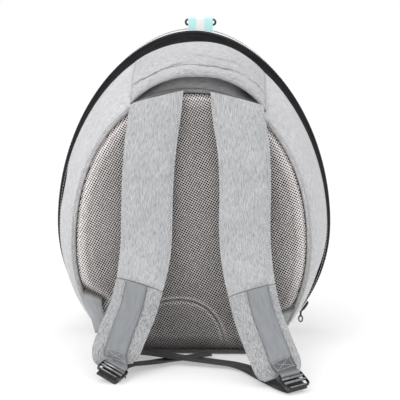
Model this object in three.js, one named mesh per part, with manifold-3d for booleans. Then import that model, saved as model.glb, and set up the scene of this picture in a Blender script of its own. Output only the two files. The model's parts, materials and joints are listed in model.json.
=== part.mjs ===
// Egg-shaped pet carrier backpack, standing on its flat base with its straps toward -Y.
// Millimetres, +Z up. The origin is on the floor, under the middle of the zip plane.
import * as THREE from 'three';
import { mergeVertices } from 'three/addons/utils/BufferGeometryUtils.js';
import Module from 'manifold-3d';

const wasm = await Module();
wasm.setup();

// Driving sizes
const clearance = 0.3; // left between neighbouring pieces
const shellWall = 3; // padded cloth of the back shell
const domeWall = 2.5; // clear moulded front
const tapeWall = 2; // zip tape with its binding
const stripWall = 1.4; // flat webbing
const zipReach = 24; // from the coil to the sewn edge of the back tape
const zipFrontReach = 8; // and to the clear front's rim
const coilRadius = 1.9;
const zipEndAngle = THREE.MathUtils.degToRad(132); // where the zip stops above the base
const baseRounding = 12; // height over which the sides turn into the base
const upperPower = 1.93; // fullness of the egg above its widest line
const lowerPower = 2; // fullness below it
const roundSteps = 56; // facets round the egg
const sewnShift = 8; // the yoke and the top tab sit this far right of the shell's middle
const webbingWidth = 25;
const tabWidth = 26; // anchor tabs of folded cloth
const tabWall = 2;
const pipingRadius = 3;
const zipEndGap = 0.6; // between each end of the zip and the hinge strip
const tangentStep = 0.01; // radians either side of a place on an egg, for its direction
const wireSides = 6;

// Outer skin of the body, one row for each section square to Y
const bodyStations = [
  { y: -112, halfWidth: 138, top: 312.5, wide: 128, low: 153 },
  { y: -102, halfWidth: 146, top: 322.5, wide: 129, low: 156 },
  { y: -81, halfWidth: 154, top: 336, wide: 131, low: 160 },
  { y: -54, halfWidth: 160, top: 348, wide: 132.5, low: 164 },
  { y: -24, halfWidth: 164.4, top: 360.5, wide: 133, low: 167.5 },
  { y: 0, halfWidth: 170, top: 371.8, wide: 133, low: 176 },
  { y: 24, halfWidth: 166, top: 375.5, wide: 133, low: 172 },
  { y: 52, halfWidth: 160, top: 374.5, wide: 134, low: 166 },
  { y: 82, halfWidth: 147, top: 360, wide: 136, low: 160 },
  { y: 108, halfWidth: 127, top: 332, wide: 139, low: 151 },
  { y: 129, halfWidth: 101, top: 295, wide: 143, low: 130 },
  { y: 143, halfWidth: 69, top: 249, wide: 148, low: 91 },
  { y: 150, halfWidth: 34, top: 200, wide: 153, low: 45 },
];
const backWallY = bodyStations[0].y;

// Flat floor boards let into the shell and the dome, each as far as its half's open rim
const floorBoards = {
  shell: { halfWidth: 60, from: -108, to: -zipReach },
  dome: { halfWidth: 54, from: zipFrontReach, to: 84 },
};
const boardHeight = 6; // more than any board's thickness

// Padded mesh panel: its outline, and how far it stands proud at each inward step
const panelOutline = { halfWidth: 133.5, top: 307.5, wide: 128, low: 153, floor: 6.8, power: 2.15 };
const panelCrown = [
  { scale: 0.985, proud: clearance },
  { scale: 1, proud: 2.6 },
  { scale: 0.985, proud: 6.2 },
  { scale: 0.94, proud: 9.6 },
  { scale: 0.82, proud: 12.6 },
  { scale: 0.55, proud: 14.2 },
  { scale: 0.25, proud: 14.8 },
];

// Yoke over the hand opening, one row for each line from the zip tape to the free edge.
// y and under place its lower face at the middle, left and right are the y of the row's two ends.
const yokeHalfWidth = 78;
const yokeBow = 2.2; // how the middle falls away to the ends
const yokeRows = [
  { y: -25.5, left: -26, right: -26, under: 360.4, thick: 1 },
  { y: -48, left: -46, right: -46, under: 352.6, thick: 5.2 },
  { y: -74, left: -65, right: -64, under: 346, thick: 7 },
  { y: -98, left: -82, right: -80, under: 338.5, thick: 8 },
  { y: -113.5, left: -96, right: -91, under: 332.5, thick: 8.5 },
  { y: -124, left: -104.5, right: -98.5, under: 327.4, thick: 9.5 },
];
const yokeEndLift = 0.8; // its ends lie this far off the shell
const yokeRoll = { y: -3.2, z: -3.8 }; // the free edge's rolled lip, from the middle of its thickness
const yokeSpans = 16;

// Shoulder straps, one row for each section down the middle of the pad.
// slant lifts the end's right corner, so that it follows the panel's top.
const strapRows = {
  left: [
    { x: -37, y: -123.1, z: 304, width: 58, thick: 7, slant: 12 },
    { x: -40.5, y: -129.6, z: 285, width: 59, thick: 11 },
    { x: -46, y: -134, z: 245, width: 59, thick: 12 },
    { x: -49, y: -136.5, z: 203, width: 58.5, thick: 12 },
    { x: -50, y: -140, z: 163, width: 58.5, thick: 12 },
    { x: -50.5, y: -145, z: 137, width: 58, thick: 12 },
    { x: -53, y: -154, z: 115, width: 57, thick: 12 },
    { x: -56, y: -162, z: 99, width: 55, thick: 11 },
    { x: -63.5, y: -178, z: 71, width: 54, thick: 12 },
    { x: -73, y: -192, z: 49, width: 54, thick: 12 },
    { x: -80, y: -201.5, z: 32, width: 53, thick: 11.5 },
    { x: -82, y: -204.3, z: 27.5, width: 48, thick: 10.5 },
    { x: -83.2, y: -206, z: 24.5, width: 38, thick: 8 },
  ],
  right: [
    { x: 52, y: -122.6, z: 302, width: 60, thick: 7, slant: -10.5 },
    { x: 54, y: -129.6, z: 284, width: 59, thick: 11 },
    { x: 60, y: -134, z: 245, width: 59, thick: 12 },
    { x: 62, y: -136.5, z: 203, width: 58.5, thick: 12 },
    { x: 61.5, y: -140, z: 166, width: 58.5, thick: 12 },
    { x: 62.5, y: -145, z: 137, width: 58, thick: 12 },
    { x: 65, y: -154, z: 115, width: 57, thick: 12 },
    { x: 69.5, y: -164, z: 91, width: 55, thick: 11 },
    { x: 76.5, y: -187, z: 66, width: 54, thick: 12 },
    { x: 86, y: -208, z: 45, width: 54, thick: 12 },
    { x: 94, y: -226, z: 29, width: 53, thick: 11.5 },
    { x: 97, y: -231.5, z: 24.8, width: 48, thick: 10.5 },
    { x: 99, y: -235, z: 21.8, width: 38, thick: 8 },
  ],
};
const strapSeamRow = 7; // the row where the grey webbing strip begins
const stripOutward = 5; // the strip lies this far toward the strap's outer edge

// Ladder-lock buckles: where each lies, along its bars (across) and along the strap (down)
const buckles = {
  left: { at: [-83.5, -219, 12.5], across: [0.76, -0.48, -0.42], down: [-0.4, -0.9, -0.16] },
  right: { at: [113.5, -250, 12.2], across: [0.76, 0.6, 0.135], down: [0.49, -0.75, -0.44] },
};
const buckleSize = { width: 34, length: 25, thick: 4, rail: 3.2, bar: 3.6, slot: 5.2, corner: 4 };
// How the webbing turns round a bar: shoulder is a share of the buckle's thickness, the rest are
// lengths by which it eases at a bar's edge and corner and where it comes in and goes out
const turn = { shoulder: 0.4, edge: 0.4, corner: 0.7, approach: 2.2, leadIn: 4, leadDrop: 1, tuck: 0.5 };

// Cloth tabs sewn into the panel's lower corners, and the dark webbing that runs on from them.
// swing turns a tab's width about the vertical, so that it starts flat on the panel's sloping edge.
// Each tail row is a point along the middle of the webbing where it lies on the floor.
const anchorTabs = {
  left: [
    { x: -113, y: -124, z: 80, swing: -20 },
    { x: -111, y: -131, z: 69, swing: -14 },
    { x: -105, y: -149, z: 54, swing: -6 },
    { x: -98.5, y: -168, z: 41, swing: 0 },
  ],
  right: [
    { x: 88, y: -126.4, z: 62, swing: 10 },
    { x: 89, y: -135, z: 55, swing: 10 },
    { x: 93, y: -155, z: 43, swing: 12 },
    { x: 98, y: -176, z: 33, swing: 14 },
  ],
};
const tails = {
  left: [
    { x: -80, y: -214, z: 1.2 },
    { x: -75, y: -197, z: 1.4 },
    { x: -68, y: -176, z: 1.5 },
    { x: -58, y: -160, z: 1.5 },
    { x: -44, y: -150, z: 1.5 },
    { x: -28, y: -143.5, z: 1.5 },
    { x: -10, y: -141, z: 1.4 },
    { x: 8, y: -143.5, z: 1.2 },
    { x: 24, y: -149.5, z: 1 },
  ],
  right: [
    { x: 106, y: -243, z: 1.2 },
    { x: 96, y: -230, z: 1.4 },
    { x: 84, y: -212, z: 1.5 },
    { x: 68, y: -187, z: 2 },
    { x: 50, y: -167, z: 3.2 },
    { x: 28, y: -158, z: 3.7 },
    { x: 8, y: -148, z: 3.9 },
    { x: -12, y: -141.5, z: 3.9 },
    { x: -40, y: -134.5, z: 3.8 },
    { x: -58, y: -133, z: 3.2 },
    { x: -72, y: -133.2, z: 1.8 },
    { x: -84, y: -133.4, z: 1 },
  ],
};

// Top tab with its ring, zip slider and its pull
const topTab = { width: 30, y: 15, barHeight: 386.3, loopRadius: 2.1, wall: 1.4, spans: 6 };
// hang is how far the ring's loose bar falls below the level, in degrees
const topRing = { width: 39, depth: 8.5, wire: 1.3, hang: 53, corner: 3.5 };
// hold is the share of the slider's height at which the pull hangs
const slider = { angle: 125.7, length: 15, width: 9, height: 3.4, taper: 0.75, hold: 0.4 };
// Section of the slider across the zip, as shares of its half width and its height
const sliderSection = [[-1, 0], [-1, 0.55], [-0.6, 1], [0.6, 1], [1, 0.55], [1, 0]];
const pull = {
  drop: 12.8, loopWidth: 4.8, loopHeight: 8, wire: 0.8, neckWidth: 2.4, pinRadius: 1.2, pinLength: 6,
};

const vector = (x, y, z) => new THREE.Vector3(x, y, z);

function material(colour, roughness, metalness = 0, opacity = 1) {
  const transparent = opacity < 1;
  return new THREE.MeshStandardMaterial({ color: colour, roughness, metalness, opacity, transparent });
}

const finishes = {
  shellCloth: material(0xc9c9cc, 0.95),
  strapCloth: material(0xbebfc1, 0.95),
  airMesh: material(0x837e7e, 0.95),
  piping: material(0xa9a4a4, 0.9),
  greyWebbing: material(0x9ea1a5, 0.7),
  darkWebbing: material(0x464445, 0.8),
  zipTape: material(0x2f2e33, 0.75),
  blackPlastic: material(0x1c1c1e, 0.25),
  clearDome: material(0xf2f5f6, 0.06, 0, 0.25),
  stripedWebbing: material(0xcaf4f5, 0.8),
  darkMetal: material(0x4c4a4c, 0.3, 1),
  greyMetal: material(0x8d8b8a, 0.35, 1),
};

// A closed skin through rings of equal count. An open run is capped at both ends.
function skin(rings, closed = false) {
  const count = rings[0].length;
  const points = rings.flat();
  const faces = [];
  const spans = closed ? rings.length : rings.length - 1;
  for (let i = 0; i < spans; i += 1) {
    const here = i * count;
    const next = ((i + 1) % rings.length) * count;
    for (let j = 0; j < count; j += 1) {
      const k = (j + 1) % count;
      faces.push([here + j, next + j, next + k], [here + j, next + k, here + k]);
    }
  }
  const cap = (ring, start, facing) => {
    const middle = ring.reduce((sum, p) => sum.add(p), vector(0, 0, 0)).divideScalar(count);
    const hub = points.push(middle) - 1;
    for (let j = 0; j < count; j += 1) {
      const k = (j + 1) % count;
      faces.push(facing ? [hub, start + j, start + k] : [hub, start + k, start + j]);
    }
  };
  if (!closed) {
    cap(rings[0], 0, true);
    cap(rings.at(-1), (rings.length - 1) * count, false);
  }
  const volume = faces.reduce((sum, [a, b, c]) => {
    return sum + points[a].dot(vector(0, 0, 0).crossVectors(points[b], points[c]));
  }, 0);
  const outward = volume > 0 ? faces : faces.map(([a, b, c]) => [a, c, b]);
  return indexed(points.flatMap((p) => p.toArray()), outward.flat());
}

function indexed(coordinates, index) {
  const geometry = new THREE.BufferGeometry();
  geometry.setAttribute('position', new THREE.Float32BufferAttribute(coordinates, 3));
  geometry.setIndex(index);
  geometry.computeVertexNormals();
  return geometry;
}

const group = new THREE.Group();
function addPiece(name, geometry, finish) {
  const mesh = new THREE.Mesh(geometry, finish);
  mesh.name = name;
  group.add(mesh);
  return mesh;
}

// The body's outer section at any y, mixed from the rows on either side
function stationAt(y) {
  const above = bodyStations.findIndex((row) => row.y >= y);
  const b = bodyStations[Math.max(above, 1)];
  const a = bodyStations[Math.max(above, 1) - 1];
  const mix = (y - a.y) / (b.y - a.y);
  const station = {};
  for (const key of Object.keys(a)) station[key] = THREE.MathUtils.lerp(a[key], b[key], mix);
  return station;
}

// Height kept at or above a floor, with a rounded turn into it
function aboveFloor(z, floor) {
  if (z >= floor + baseRounding) return z;
  if (z <= floor - baseRounding) return floor;
  return floor + (z - floor + baseRounding) ** 2 / (4 * baseRounding);
}

// Point on an egg outline, angle measured from its top, inset from its edge
function eggPoint(egg, angle, inset = 0) {
  const side = Math.sin(angle);
  const rise = Math.cos(angle);
  const power = 2 / (rise > 0 ? egg.power ?? upperPower : lowerPower);
  const reach = (rise > 0 ? egg.top - egg.wide : egg.low) - inset;
  const x = (egg.halfWidth - inset) * Math.sign(side) * Math.abs(side) ** power;
  const z = egg.wide + reach * Math.sign(rise) * Math.abs(rise) ** power;
  return vector(x, egg.y, aboveFloor(z, (egg.floor ?? 0) + inset));
}

// Place, direction and outward side at an angle round an egg
function eggFrame(egg, angle, inset = 0) {
  const before = eggPoint(egg, angle - tangentStep, inset);
  const along = eggPoint(egg, angle + tangentStep, inset).sub(before).normalize();
  const out = vector(0, 0, 0).crossVectors(along, vector(0, 1, 0)).normalize();
  return { place: eggPoint(egg, angle, inset), along, out };
}

function eggRing(egg, inset = 0) {
  return Array.from({ length: roundSteps }, (_, i) => eggPoint(egg, (i / roundSteps) * 2 * Math.PI, inset));
}

// Height of the shell's top at a place
function shellHeight(x, y) {
  const egg = stationAt(y);
  const share = Math.min(Math.abs(x) / egg.halfWidth, 1);
  return egg.wide + (egg.top - egg.wide) * (1 - share ** upperPower) ** (1 / upperPower);
}

// Hollow bowl through body sections, from its closed end to its rim and back inside
function bowl(stations, wall, closedEnd) {
  const outer = stations.map((row) => eggRing(row));
  const inner = stations.map((row, i) => {
    const shift = i === 0 ? closedEnd * wall : 0;
    return eggRing({ ...row, y: row.y - shift }, wall);
  });
  return skin([...outer, ...inner.reverse()]);
}

function shellAndDome() {
  const backRows = bodyStations.filter((row) => row.y <= -zipReach);
  const shell = splitFloor(bowl(backRows, shellWall, -1), floorBoards.shell);
  addPiece('back_shell', shell.rest, finishes.shellCloth);
  addPiece('shell_floor', shell.board, finishes.shellCloth);
  const beyondRim = bodyStations.filter((row) => row.y > zipFrontReach);
  const frontRows = [stationAt(zipFrontReach), ...beyondRim].reverse();
  const dome = splitFloor(bowl(frontRows, domeWall, 1), floorBoards.dome);
  addPiece('front_dome', dome.rest, finishes.clearDome);
  addPiece('dome_floor', dome.board, finishes.clearDome);
}

// Cuts a bowl's floor board free of it, with the usual clearance round the board
function splitFloor(geometry, { halfWidth, from, to }) {
  const whole = solidOf(geometry);
  const block = (margin) => {
    const size = [2 * (halfWidth + margin), to - from + 2 * margin, 2 * (boardHeight + margin)];
    return wasm.Manifold.cube(size, true).translate([0, (from + to) / 2, 0]);
  };
  return {
    rest: geometryOf(whole.subtract(block(clearance))),
    board: geometryOf(whole.intersect(block(0))),
  };
}

// Strip of the body's skin between two depths and two angles
function skinStrip(fromY, toY, fromAngle, toAngle, wall, steps) {
  const near = stationAt(fromY);
  const far = stationAt(toY);
  const rings = [];
  for (let i = 0; i <= steps; i += 1) {
    const angle = THREE.MathUtils.lerp(fromAngle, toAngle, i / steps);
    const outer = [eggPoint(near, angle), eggPoint(far, angle)];
    rings.push([...outer, eggPoint(far, angle, wall), eggPoint(near, angle, wall)]);
  }
  return skin(rings);
}

function zip() {
  const sewn = zipReach - clearance;
  const rim = zipFrontReach - clearance;
  const beside = coilRadius + clearance;
  const steps = 40;
  const tape = (from, to) => skinStrip(from, to, -zipEndAngle, zipEndAngle, tapeWall, steps);
  addPiece('zip_tape_back', tape(-sewn, -beside), finishes.zipTape);
  addPiece('zip_tape_front', tape(beside, rim), finishes.zipTape);

  const coilSides = 6;
  const middle = stationAt(0);
  const rings = [];
  for (let i = 0; i <= steps; i += 1) {
    const angle = THREE.MathUtils.lerp(-zipEndAngle, zipEndAngle, i / steps);
    const { place, out } = eggFrame(middle, angle, tapeWall / 2);
    rings.push(Array.from({ length: coilSides }, (_, k) => {
      const around = (k / coilSides) * 2 * Math.PI;
      const offset = vector(0, Math.cos(around) * coilRadius, 0);
      return place.clone().add(offset).addScaledVector(out, Math.sin(around) * coilRadius);
    }));
  }
  addPiece('zip_coil', skin(rings), finishes.zipTape);

  const stripSteps = 16;
  const start = zipEndAngle + zipEndGap / middle.halfWidth;
  const base = skinStrip(-sewn, rim, start, 2 * Math.PI - start, tapeWall, stripSteps);
  addPiece('base_hinge_strip', base, finishes.shellCloth);
}

function panelAndPiping() {
  const rings = panelCrown.map(({ scale, proud }) => {
    const ring = eggRing({ ...panelOutline, y: backWallY - proud });
    return ring.map((p) => vector(p.x * scale, p.y, panelOutline.wide + (p.z - panelOutline.wide) * scale));
  });
  addPiece('back_panel', skin(rings), finishes.airMesh);

  const spread = pipingRadius + clearance;
  const bead = {
    y: backWallY - spread,
    halfWidth: panelOutline.halfWidth + spread,
    top: panelOutline.top + spread,
    wide: panelOutline.wide,
    power: panelOutline.power,
    low: panelOutline.low + spread,
    floor: panelOutline.floor - spread,
  };
  const sides = 8;
  const steps = 60;
  const beadRings = Array.from({ length: steps }, (_, i) => {
    const { place, out } = eggFrame(bead, (i / steps) * 2 * Math.PI);
    return Array.from({ length: sides }, (__, k) => {
      const around = ((k + 0.5) / sides) * 2 * Math.PI;
      const offset = vector(0, Math.sin(around) * pipingRadius, 0);
      return place.clone().add(offset).addScaledVector(out, Math.cos(around) * pipingRadius);
    });
  });
  addPiece('panel_piping', skin(beadRings, true), finishes.piping);
}

// Padded hood over the hand opening, lofted from end to end across the shell
function yoke() {
  const rings = [];
  for (let i = 0; i <= yokeSpans; i += 1) {
    const across = (i / yokeSpans) * 2 - 1;
    const fall = Math.abs(across) ** yokeBow;
    const x = sewnShift + yokeHalfWidth * across;
    const lower = [];
    const upper = [];
    yokeRows.forEach((row, r) => {
      const endY = across < 0 ? row.left : row.right;
      const endZ = shellHeight(sewnShift + yokeHalfWidth * Math.sign(across), endY) + yokeEndLift;
      const y = THREE.MathUtils.lerp(row.y, endY, fall);
      const z = THREE.MathUtils.lerp(row.under, endZ, fall);
      const before = yokeRows[Math.max(r - 1, 0)];
      const after = yokeRows[Math.min(r + 1, yokeRows.length - 1)];
      const slope = vector(0, after.y - before.y, after.under - before.under).normalize();
      const out = vector(0, slope.z, -slope.y);
      lower.push(vector(x, y, z));
      upper.push(vector(x, y, z).addScaledVector(out, row.thick));
    });
    const roll = lower.at(-1).clone().lerp(upper.at(-1), 0.5).add(vector(0, yokeRoll.y, yokeRoll.z));
    rings.push([...lower, roll, ...upper.reverse()]);
  }
  addPiece('yoke_handle', skin(rings), finishes.shellCloth);
}

// Section of a pad with rounded edges, as shares of its half width and half thickness
const padSection = [
  [1, 0], [0.97, 0.62], [0.86, 1], [0.4, 1], [-0.4, 1], [-0.86, 1], [-0.97, 0.62],
  [-1, 0], [-0.97, -0.62], [-0.86, -1], [0, -1], [0.86, -1], [0.97, -0.62],
];

// Frames down a run of rows: along it, across it (nearest to the asked heading) and out of its face
function runFrames(rows, headings) {
  const places = rows.map((row) => vector(row.x, row.y, row.z));
  return places.map((place, i) => {
    const next = places[Math.min(i + 1, places.length - 1)];
    const along = next.clone().sub(places[Math.max(i - 1, 0)]).normalize();
    const across = headings[i].clone().addScaledVector(along, -headings[i].dot(along)).normalize();
    const out = vector(0, 0, 0).crossVectors(across, along).negate().normalize();
    return { place, along, across, out };
  });
}

function strapPad(side) {
  const rows = strapRows[side];
  const frames = runFrames(rows, rows.map(() => vector(1, 0, 0)));
  const rings = frames.map(({ place, across, out }, i) => padSection.map(([a, b]) => {
    const { width, thick, slant = 0 } = rows[i];
    return place.clone()
      .addScaledVector(across, (a * width) / 2)
      .addScaledVector(out, (b * thick) / 2)
      .add(vector(0, 0, a * slant));
  }));
  addPiece(`strap_pad_${side}`, skin(rings), finishes.strapCloth);
  return frames;
}

// Flat ribbon through frames
function ribbon(frames, width, wall) {
  return skin(frames.map(({ place, across, out }) => {
    const corner = (a, b) => place.clone()
      .addScaledVector(across, (a * width) / 2)
      .addScaledVector(out, (b * wall) / 2);
    return [corner(-1, -1), corner(1, -1), corner(1, 1), corner(-1, 1)];
  }));
}

function buckleFrame({ at, across, down }) {
  const along = vector(...down).normalize();
  const side = vector(...across).negate();
  side.addScaledVector(along, -side.dot(along)).normalize();
  const out = vector(0, 0, 0).crossVectors(side, along).normalize();
  return new THREE.Matrix4().makeBasis(side, along, out).setPosition(...at);
}

// Frame with two slots and three bars. Local X runs along the bars, Y down the strap, Z out of its face.
function buckle(side) {
  const { width, length, thick, rail, bar, slot, corner } = buckleSize;
  const plate = new THREE.Shape();
  const x = width / 2;
  const y = length / 2;
  plate.moveTo(-x + corner, -y);
  plate.lineTo(x - corner, -y);
  plate.quadraticCurveTo(x, -y, x, -y + corner);
  plate.lineTo(x, y - corner);
  plate.quadraticCurveTo(x, y, x - corner, y);
  plate.lineTo(-x + corner, y);
  plate.quadraticCurveTo(-x, y, -x, y - corner);
  plate.lineTo(-x, -y + corner);
  plate.quadraticCurveTo(-x, -y, -x + corner, -y);
  for (const from of slotStarts()) {
    const hole = new THREE.Path();
    hole.moveTo(-x + rail, from);
    hole.lineTo(-x + rail, from + slot);
    hole.lineTo(x - rail, from + slot);
    hole.lineTo(x - rail, from);
    hole.lineTo(-x + rail, from);
    plate.holes.push(hole);
  }
  const geometry = new THREE.ExtrudeGeometry(plate, { depth: thick, bevelEnabled: false, curveSegments: 4 });
  geometry.translate(0, 0, -thick / 2);
  geometry.applyMatrix4(buckleFrame(buckles[side]));
  addPiece(`buckle_${side}`, geometry, finishes.blackPlastic);
}

function slotStarts() {
  const first = -buckleSize.length / 2 + buckleSize.bar;
  return [first, first + buckleSize.slot + buckleSize.bar];
}

// A ribbon's row given in a buckle's own frame
function buckleRow(side, down, out, lean) {
  const matrix = buckleFrame(buckles[side]);
  const axis = (i) => vector(0, 0, 0).setFromMatrixColumn(matrix, i);
  const tilt = THREE.MathUtils.degToRad(lean);
  const outward = axis(2).multiplyScalar(Math.cos(tilt)).addScaledVector(axis(1), Math.sin(tilt));
  const place = vector(0, down, out).applyMatrix4(matrix);
  return { place, across: axis(0).negate(), out: outward };
}

// Grey strip down the strap's face, over the pad's end and round the buckle's first bar
function strapWeb(side, padFrames) {
  const rows = strapRows[side];
  const outerEdge = side === 'left' ? -1 : 1;
  const onPad = padFrames.slice(strapSeamRow).map(({ place, across, out }, i) => {
    const face = rows[i + strapSeamRow].thick / 2 + 2 * clearance + stripWall / 2;
    const onFace = place.clone().addScaledVector(out, face);
    return { place: onFace.addScaledVector(across, outerEdge * stripOutward), across, out };
  });
  const barTop = -buckleSize.length / 2;
  const wrap = buckleSize.thick / 2 + clearance + stripWall / 2;
  const inSlot = barTop + buckleSize.bar + clearance + stripWall / 2;
  const shoulder = buckleSize.thick * turn.shoulder;
  const loop = [
    { down: barTop + turn.edge, out: wrap, lean: -10 },
    { down: inSlot - turn.corner, out: wrap, lean: 25 },
    { down: inSlot, out: shoulder, lean: 80 },
    { down: inSlot, out: -shoulder, lean: 100 },
    { down: inSlot - turn.corner, out: -wrap, lean: 155 },
    { down: barTop + turn.edge, out: -wrap, lean: 180 },
  ].map((row) => buckleRow(side, row.down, row.out, row.lean));
  const strip = ribbon([...onPad, ...loop], webbingWidth, stripWall);
  addPiece(`strap_web_${side}`, strip, finishes.greyWebbing);
}

function anchorTab(side) {
  const rows = anchorTabs[side];
  const frames = runFrames(rows, rows.map(({ swing }) => {
    const angle = THREE.MathUtils.degToRad(swing);
    return vector(Math.cos(angle), Math.sin(angle), 0);
  }));
  addPiece(`anchor_tab_${side}`, ribbon(frames, tabWidth, tabWall), finishes.greyWebbing);
  return frames;
}

// Dark webbing: from the tab, up through the buckle, over its middle bar and away along the floor
function webbing(side, tabFrames) {
  const last = tabFrames.at(-1);
  const start = { ...last, place: last.place.clone().addScaledVector(last.along, clearance) };
  const { bar, slot, thick } = buckleSize;
  const middleBar = slotStarts()[0] + slot;
  const over = thick / 2 + clearance + stripWall / 2;
  const besideBar = clearance + stripWall / 2;
  const shoulder = thick * turn.shoulder;
  const below = over + stripWall + clearance;
  const near = middleBar - besideBar;
  const far = middleBar + bar + besideBar;
  const pass = [
    { down: -buckleSize.length / 2 - turn.leadIn, out: -below - turn.leadDrop, lean: 0 },
    { down: near - turn.approach, out: -below, lean: -30 },
    { down: near, out: -shoulder, lean: -85 },
    { down: near, out: shoulder, lean: -80 },
    { down: near + turn.corner, out: over, lean: -25 },
    { down: far - turn.corner, out: over, lean: 25 },
    { down: far, out: shoulder, lean: 80 },
    { down: far, out: -shoulder, lean: 90 },
    { down: far - turn.tuck, out: -below, lean: 110 },
  ].map((row) => buckleRow(side, row.down, row.out, row.lean));
  const faceDown = vector(0, 0, -1);
  const tail = runFrames(tails[side], tails[side].map(() => vector(1, 0, 0))).map(({ place, along }) => {
    const across = vector(0, 0, 0).crossVectors(faceDown, along).normalize();
    return { place, across, out: faceDown };
  });
  const run = ribbon([start, ...pass, ...tail], webbingWidth, stripWall);
  addPiece(`webbing_${side}`, run, finishes.darkWebbing);
}

// Folded loop of striped webbing, its feet following the clear front, with its ring
function topTabAndRing() {
  const { width, y, barHeight, loopRadius, wall, spans } = topTab;
  const arcSteps = 8;
  const arc = (x, radius) => Array.from({ length: arcSteps + 1 }, (_, i) => {
    const around = (i / arcSteps) * Math.PI;
    return vector(x, y + Math.cos(around) * radius, barHeight + Math.sin(around) * radius);
  });
  const foot = (x, offset) => vector(x, y + offset, shellHeight(x, y + offset) + clearance);
  const outlines = Array.from({ length: spans + 1 }, (_, i) => {
    const x = sewnShift + (i / spans - 0.5) * width;
    return [
      ...arc(x, loopRadius + wall),
      foot(x, -loopRadius - wall),
      foot(x, -loopRadius),
      ...arc(x, loopRadius).reverse(),
      foot(x, loopRadius),
      foot(x, loopRadius + wall),
    ];
  });
  addPiece('top_tab', slab(outlines), finishes.stripedWebbing);

  const ring = new THREE.Group();
  ring.position.set(sewnShift, y, barHeight);
  ring.rotation.x = THREE.MathUtils.degToRad(-topRing.hang);
  const path = roundedLoop(topRing.width - 2 * topRing.wire, topRing.depth, topRing.corner);
  const mesh = new THREE.Mesh(wireLoop(path, topRing.wire), finishes.darkMetal);
  mesh.name = 'top_ring';
  ring.add(mesh);
  group.add(ring);
}

// Closed slab through like outlines, each square to X, that need not be convex
function slab(outlines) {
  const count = outlines[0].length;
  const last = (outlines.length - 1) * count;
  const flat = outlines[0].map((p) => new THREE.Vector2(p.y, p.z));
  const faces = [];
  for (const [a, b, c] of THREE.ShapeUtils.triangulateShape(flat, [])) {
    faces.push([a, b, c], [last + a, last + c, last + b]);
  }
  for (let start = 0; start < last; start += count) {
    for (let j = 0; j < count; j += 1) {
      const k = (j + 1) % count;
      const next = start + count;
      faces.push([start + j, next + j, next + k], [start + j, next + k, start + k]);
    }
  }
  const outward = THREE.ShapeUtils.area(flat) > 0 ? faces.map(([a, b, c]) => [a, c, b]) : faces;
  return indexed(outlines.flat().flatMap((p) => p.toArray()), outward.flat());
}

// Rounded rectangle in the XY plane with one long bar on the X axis
function roundedLoop(width, depth, corner) {
  const x = width / 2;
  const bends = [
    { cx: x - corner, cy: corner, from: -90 },
    { cx: x - corner, cy: depth - corner, from: 0 },
    { cx: -x + corner, cy: depth - corner, from: 90 },
    { cx: -x + corner, cy: corner, from: 180 },
  ];
  const steps = 4;
  return bends.flatMap(({ cx, cy, from }) => Array.from({ length: steps + 1 }, (_, i) => {
    const around = THREE.MathUtils.degToRad(from + (i / steps) * 90);
    return vector(cx + Math.cos(around) * corner, cy + Math.sin(around) * corner, 0);
  }));
}

// Round wire along a flat closed path in the XY plane
function wireLoop(path, radius) {
  const rings = path.map((p, i) => {
    const along = path[(i + 1) % path.length].clone().sub(path.at(i - 1)).normalize();
    const out = vector(along.y, -along.x, 0);
    return Array.from({ length: wireSides }, (_, k) => {
      const around = (k / wireSides) * 2 * Math.PI;
      const offset = vector(0, 0, Math.sin(around) * radius).addScaledVector(out, Math.cos(around) * radius);
      return p.clone().add(offset);
    });
  });
  return skin(rings, true);
}

// Slider on the coil at the zip's lower right end, with a hanging pull
function sliderAndPull() {
  const { place, along, out } = eggFrame(stationAt(0), THREE.MathUtils.degToRad(slider.angle));
  const underside = coilRadius - tapeWall / 2 + clearance;
  const stations = [
    { run: -1, scale: slider.taper },
    { run: -slider.taper, scale: 1 },
    { run: slider.taper, scale: 1 },
    { run: 1, scale: slider.taper },
  ];
  const rings = stations.map(({ run, scale }) => sliderSection.map(([a, b]) => place.clone()
    .addScaledVector(along, (run * slider.length) / 2)
    .addScaledVector(vector(0, 1, 0), (a * slider.width * scale) / 2)
    .addScaledVector(out, underside + b * scale * slider.height)));
  addPiece('zip_slider', skin(rings), finishes.blackPlastic);

  const pivot = place.clone()
    .addScaledVector(along, slider.length / 2 + pull.pinRadius + clearance)
    .addScaledVector(out, underside + slider.hold * slider.height);
  const { drop, loopWidth, loopHeight, wire, neckWidth, pinRadius, pinLength } = pull;
  const loopMiddle = -drop + loopHeight / 2;
  const steps = 18;
  const path = Array.from({ length: steps }, (_, i) => {
    const around = (i / steps) * 2 * Math.PI;
    return vector((Math.cos(around) * loopWidth) / 2, loopMiddle + (Math.sin(around) * loopHeight) / 2, 0);
  });
  const loop = wireLoop(path, wire);
  const pinSides = 10;
  const pin = new THREE.CylinderGeometry(pinRadius, pinRadius, pinLength, pinSides).rotateX(Math.PI / 2);
  const neckDrop = drop - loopHeight + wire;
  const neck = new THREE.BoxGeometry(neckWidth, neckDrop, 2 * wire).translate(0, -neckDrop / 2, 0);
  const mesh = new THREE.Mesh(fuse([loop, pin, neck]), finishes.greyMetal);
  mesh.name = 'zip_pull';
  const holder = new THREE.Group();
  holder.position.copy(pivot);
  holder.rotation.x = Math.PI / 2;
  holder.add(mesh);
  group.add(holder);
}

// A geometry as a solid that can be cut or joined, and back
function solidOf(source) {
  const bare = new THREE.BufferGeometry();
  bare.setAttribute('position', source.getAttribute('position'));
  bare.setIndex(source.getIndex());
  const merged = mergeVertices(bare, 1e-4);
  const vertProperties = merged.getAttribute('position').array;
  const triVerts = Uint32Array.from(merged.getIndex().array);
  return new wasm.Manifold(new wasm.Mesh({ numProp: 3, vertProperties, triVerts }));
}

function geometryOf(solid) {
  const { vertProperties, triVerts } = solid.getMesh();
  return indexed(vertProperties, Array.from(triVerts));
}

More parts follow.
